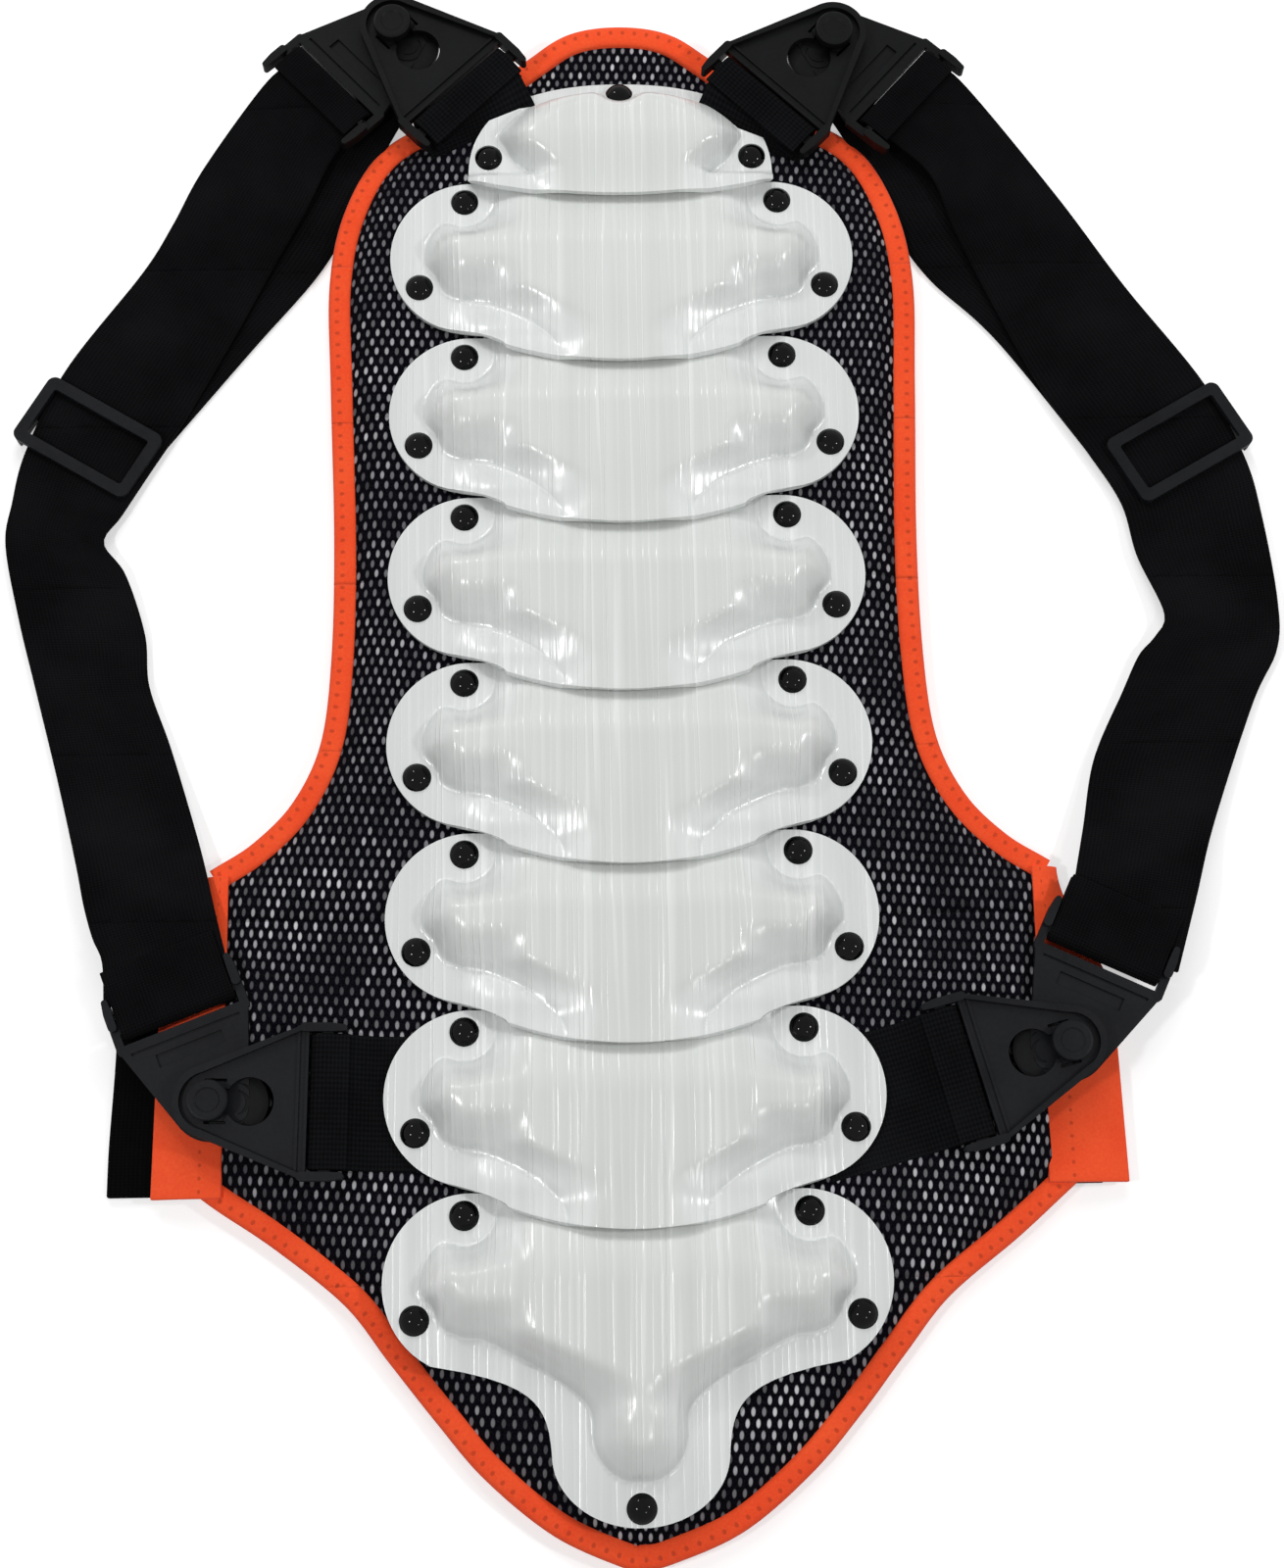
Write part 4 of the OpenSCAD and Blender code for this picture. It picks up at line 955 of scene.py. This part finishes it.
# %% [markdown]
# The ends of the straps are folded round a bar of the stud plate and sewn down, the ends of
# the webbing round a bar of the keyhole plate. A modifier could bend a band; each fold is laid
# out as a U instead, so both leaves lie just where the bar lets them.

# %% Buckle places: stud x and y, directions of the keyhole plate and of the stud plate
BUCKLES = {"waist_left": (-134.6, -0.3, -1, 111), "waist_right": (139.1, 14.6, 195, 65),
           "shoulder_left": (-79.5, 377.2, -46, -137), "shoulder_right": (75.9, 373.3, -134, -42)}

def heading(degrees):
    return math.cos(math.radians(degrees)), math.sin(math.radians(degrees))

# %% A band folded round a bar
def fold(name, at, angle, bar_u, reach, width, low_z, top_z, thick, end_drop):
    """A U-shaped band round a bar at bar_u from the stud; top leaf at top_z, low leaf at low_z."""
    c, s = heading(angle)
    r = (top_z - low_z) / 2
    middle = (top_z + low_z) / 2
    straight = reach - bar_u
    arc = math.pi * r
    total = 2 * straight + arc
    def place(u, v):
        d = v * total
        if d < straight:
            p, z = reach - d, top_z - end_drop * ease(1 - d / straight)
        elif d < straight + arc:
            a = (d - straight) / r
            p, z = bar_u - r * math.sin(a), middle + r * math.cos(a)
        else:
            p, z = bar_u + (d - straight - arc), low_z
        q = (u - 0.5) * width
        return at[0] + c * p - s * q, at[1] + s * p + c * q, z
    piece = sheet_piece(name, 16, 60, place, size=(width, total))
    give_wall(piece, thick, 0.35)
    outward(piece)
    smooth(piece, 50)
    return piece

# %% Strap loops: the bar's distance from the stud, the reach and the width
WAIST_LOOP, SHOULDER_LOOP = (31.9, 52, 38), (30.7, 40, 36.5)
LOOP_LOW, LOOP_TOP = 8.9, 13.9
loops = []
for spot, at in BUCKLES.items():
    fit = SHOULDER_LOOP if "shoulder" in spot else WAIST_LOOP
    loop = fold(f"strap_loop_{spot}", at, at[3], *fit, LOOP_LOW, LOOP_TOP, STRAP_T, end_drop=0.8)
    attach(loop, f"stud_{spot}")
    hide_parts(f"strap_end_{spot}")
    loops.append(loop)
print(len(loops), "strap loops")

# %% [markdown]
# Under each keyhole the stud plate has a flat tongue, which closes most of the big hole from
# behind: a flat cylinder whose front half is pulled forward, with its edge rounded.

# %% Tongues of the stud plates
TONGUE_R, TONGUE_T, TONGUE_PULL, TONGUE_Z = 10.5, 2, 8, 11.6
tongues = []
for spot, at in BUCKLES.items():
    only()
    bpy.ops.mesh.primitive_cylinder_add(vertices=64, radius=TONGUE_R, depth=TONGUE_T)
    tongue = bpy.context.object
    tongue.name = f"stud_tongue_{spot}"
    c, s = heading(at[2])
    for point in tongue.data.vertices:
        x, y, z = point.co
        x += TONGUE_PULL if x > 0 else 0
        point.co = Vector((at[0] + c * x - s * y, at[1] + s * x + c * y, TONGUE_Z + z)) * MM
    round_edges(tongue, 0.4, angle=50)
    smooth(tongue, 40)
    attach(tongue, f"stud_{spot}")
    tongues.append(tongue)
print(len(tongues), "tongues")

# %% [markdown]
# Short strips of woven webbing hold the keyhole plates. Each comes down from its bar in a gentle
# slope, lies flat on the foam and runs under a spine plate. A box would miss the slope and the
# turn at the shoulders, so it is a sheet too. The hem round the bar is a fold like the straps'.

# %% A strip of webbing
WEB_T, WEB_FLAT_Z, WEB_START = 1.3, 9.6, 40
WEB_FALL, WEB_SLOPE, WEB_TURN = 5.6, 13, 8

def web_band(name, at, turn, width, length):
    (c, s), (tc, ts) = heading(at[2]), heading(at[2] + turn)
    start = (at[0] + WEB_START * c, at[1] + WEB_START * s)
    def place(u, v):
        q = (u - 0.5) * width
        d = v * length
        z = WEB_FLAT_Z + WEB_FALL * (1 - ease(d / WEB_SLOPE))
        lead = min(1, d / WEB_TURN)
        nx, ny = -s * (1 - lead) - ts * lead, c * (1 - lead) + tc * lead
        return start[0] + tc * d + nx * q, start[1] + ts * d + ny * q, z
    piece = sheet_piece(name, 16, 40, place, size=(width, length))
    give_wall(piece, WEB_T, 0.3)
    outward(piece)
    smooth(piece, 50)
    return piece

# %% Webbing and hems: place, turn, width and length
HEM_BAR, HEM_REACH, HEM_LOW, HEM_TOP = 34.8, 44, 11.6, 17
webs = []
for spot, turn, width, length in (("shoulder_left", -22, 41, 44), ("shoulder_right", 22, 41, 44),
                                  ("waist_left", 0, 43, 46), ("waist_right", 0, 43, 46)):
    section = "section_1" if "shoulder" in spot else "section_7"
    web = web_band(f"web_{spot}", BUCKLES[spot], turn, width, length)
    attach(web, section)
    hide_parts("shoulder_webbing" if "shoulder" in spot else "waist_webbing")
    webs.append(web)
    hem = fold(f"web_fold_{spot}", BUCKLES[spot], BUCKLES[spot][2], HEM_BAR, HEM_REACH, width,
               HEM_LOW, HEM_TOP, WEB_T, end_drop=1.2)
    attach(hem, f"keyhole_{spot}")
    webs.append(hem)
print(len(webs), "pieces of webbing")

# %% [markdown]
# The waist tabs are two layers of the orange cloth. Each is a sheet between a straight inner
# side and a curved outer one, with the same finish as the binding.

# %% Waist tabs
TAB_TOP, TAB_FULL_Y, TAB_INNER_X, TAB_TOP_X, TAB_T = 74, 28, 131.5, 139.5, 2.2

def tab_piece(name, sign, low, low_x, full_x):
    """The outer side runs straight from low_x to full_x, then curves in to TAB_TOP_X."""
    def place(u, v):
        y = low + (TAB_TOP - low) * v
        side = low_x + (full_x - low_x) * (min(y, TAB_FULL_Y) - low) / (TAB_FULL_Y - low)
        outer = TAB_TOP_X + (side - TAB_TOP_X) * ease((TAB_TOP - y) / (TAB_TOP - TAB_FULL_Y))
        x = TAB_INNER_X + (outer - TAB_INNER_X) * u
        lift = 1.1 * math.sin(math.pi * u)
        return sign * x, y, 3.6 + 2.4 * (1 - u) + lift
    piece = sheet_piece(name, 20, 60, place, size=(21, 104))
    outward(piece)
    give_wall(piece, TAB_T, 0.6)
    smooth(piece, 50)
    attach(piece, "section_7")
    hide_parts("side_tabs")
    return piece

tabs = [tab_piece("waist_tab_left", -1, -30, 154, 153),
        tab_piece("waist_tab_right", 1, -29, 157.5, 156)]
print(len(tabs), "waist tabs")

# %% [markdown]
# The waist belt is folded away flat under the panel, and only its end shows, beside the left
# tab. A sheet with a slight wave is enough for it.

# %% Waist belt, folded under the panel
BELT_L, BELT_W, BELT_T, BELT_Z = 318, 58, 2.1, 1.3
BELT_LEFT, BELT_RIGHT = -168.5, 150

def belt_place(u, v):
    y = BELT_W * (v - 0.5)
    left = BELT_LEFT + 1.5 * ease((y + 20) / 40)
    return left + (BELT_RIGHT - left) * u, y, BELT_Z + 0.25 * math.sin(y / 9)

belt = sheet_piece("folded_waist_belt", 60, 24, belt_place, size=(BELT_L, BELT_W))
give_wall(belt, BELT_T, 0.7)
smooth(belt, 50)
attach(belt, "section_7")
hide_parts("waist_belt")
print(belt.name, len(belt.data.vertices), "points")

# %% [markdown]
# Each new piece gets one finish, last of all, when nothing is cut or joined any more.

# %% Materials on the new pieces
for finish, pieces in ((white_pp, list(plates.values())), (enamel, skins),
                       (black_nylon, tongues), (air_mesh, panel_strips),
                       (orange, tape_strips + tabs), (elastic, strap_strips + loops),
                       (webbing, webs), (belt_elastic, [belt])):
    for piece in pieces:
        finish_piece(piece, finish)
    print(finish.name, "on", len(pieces), "pieces")
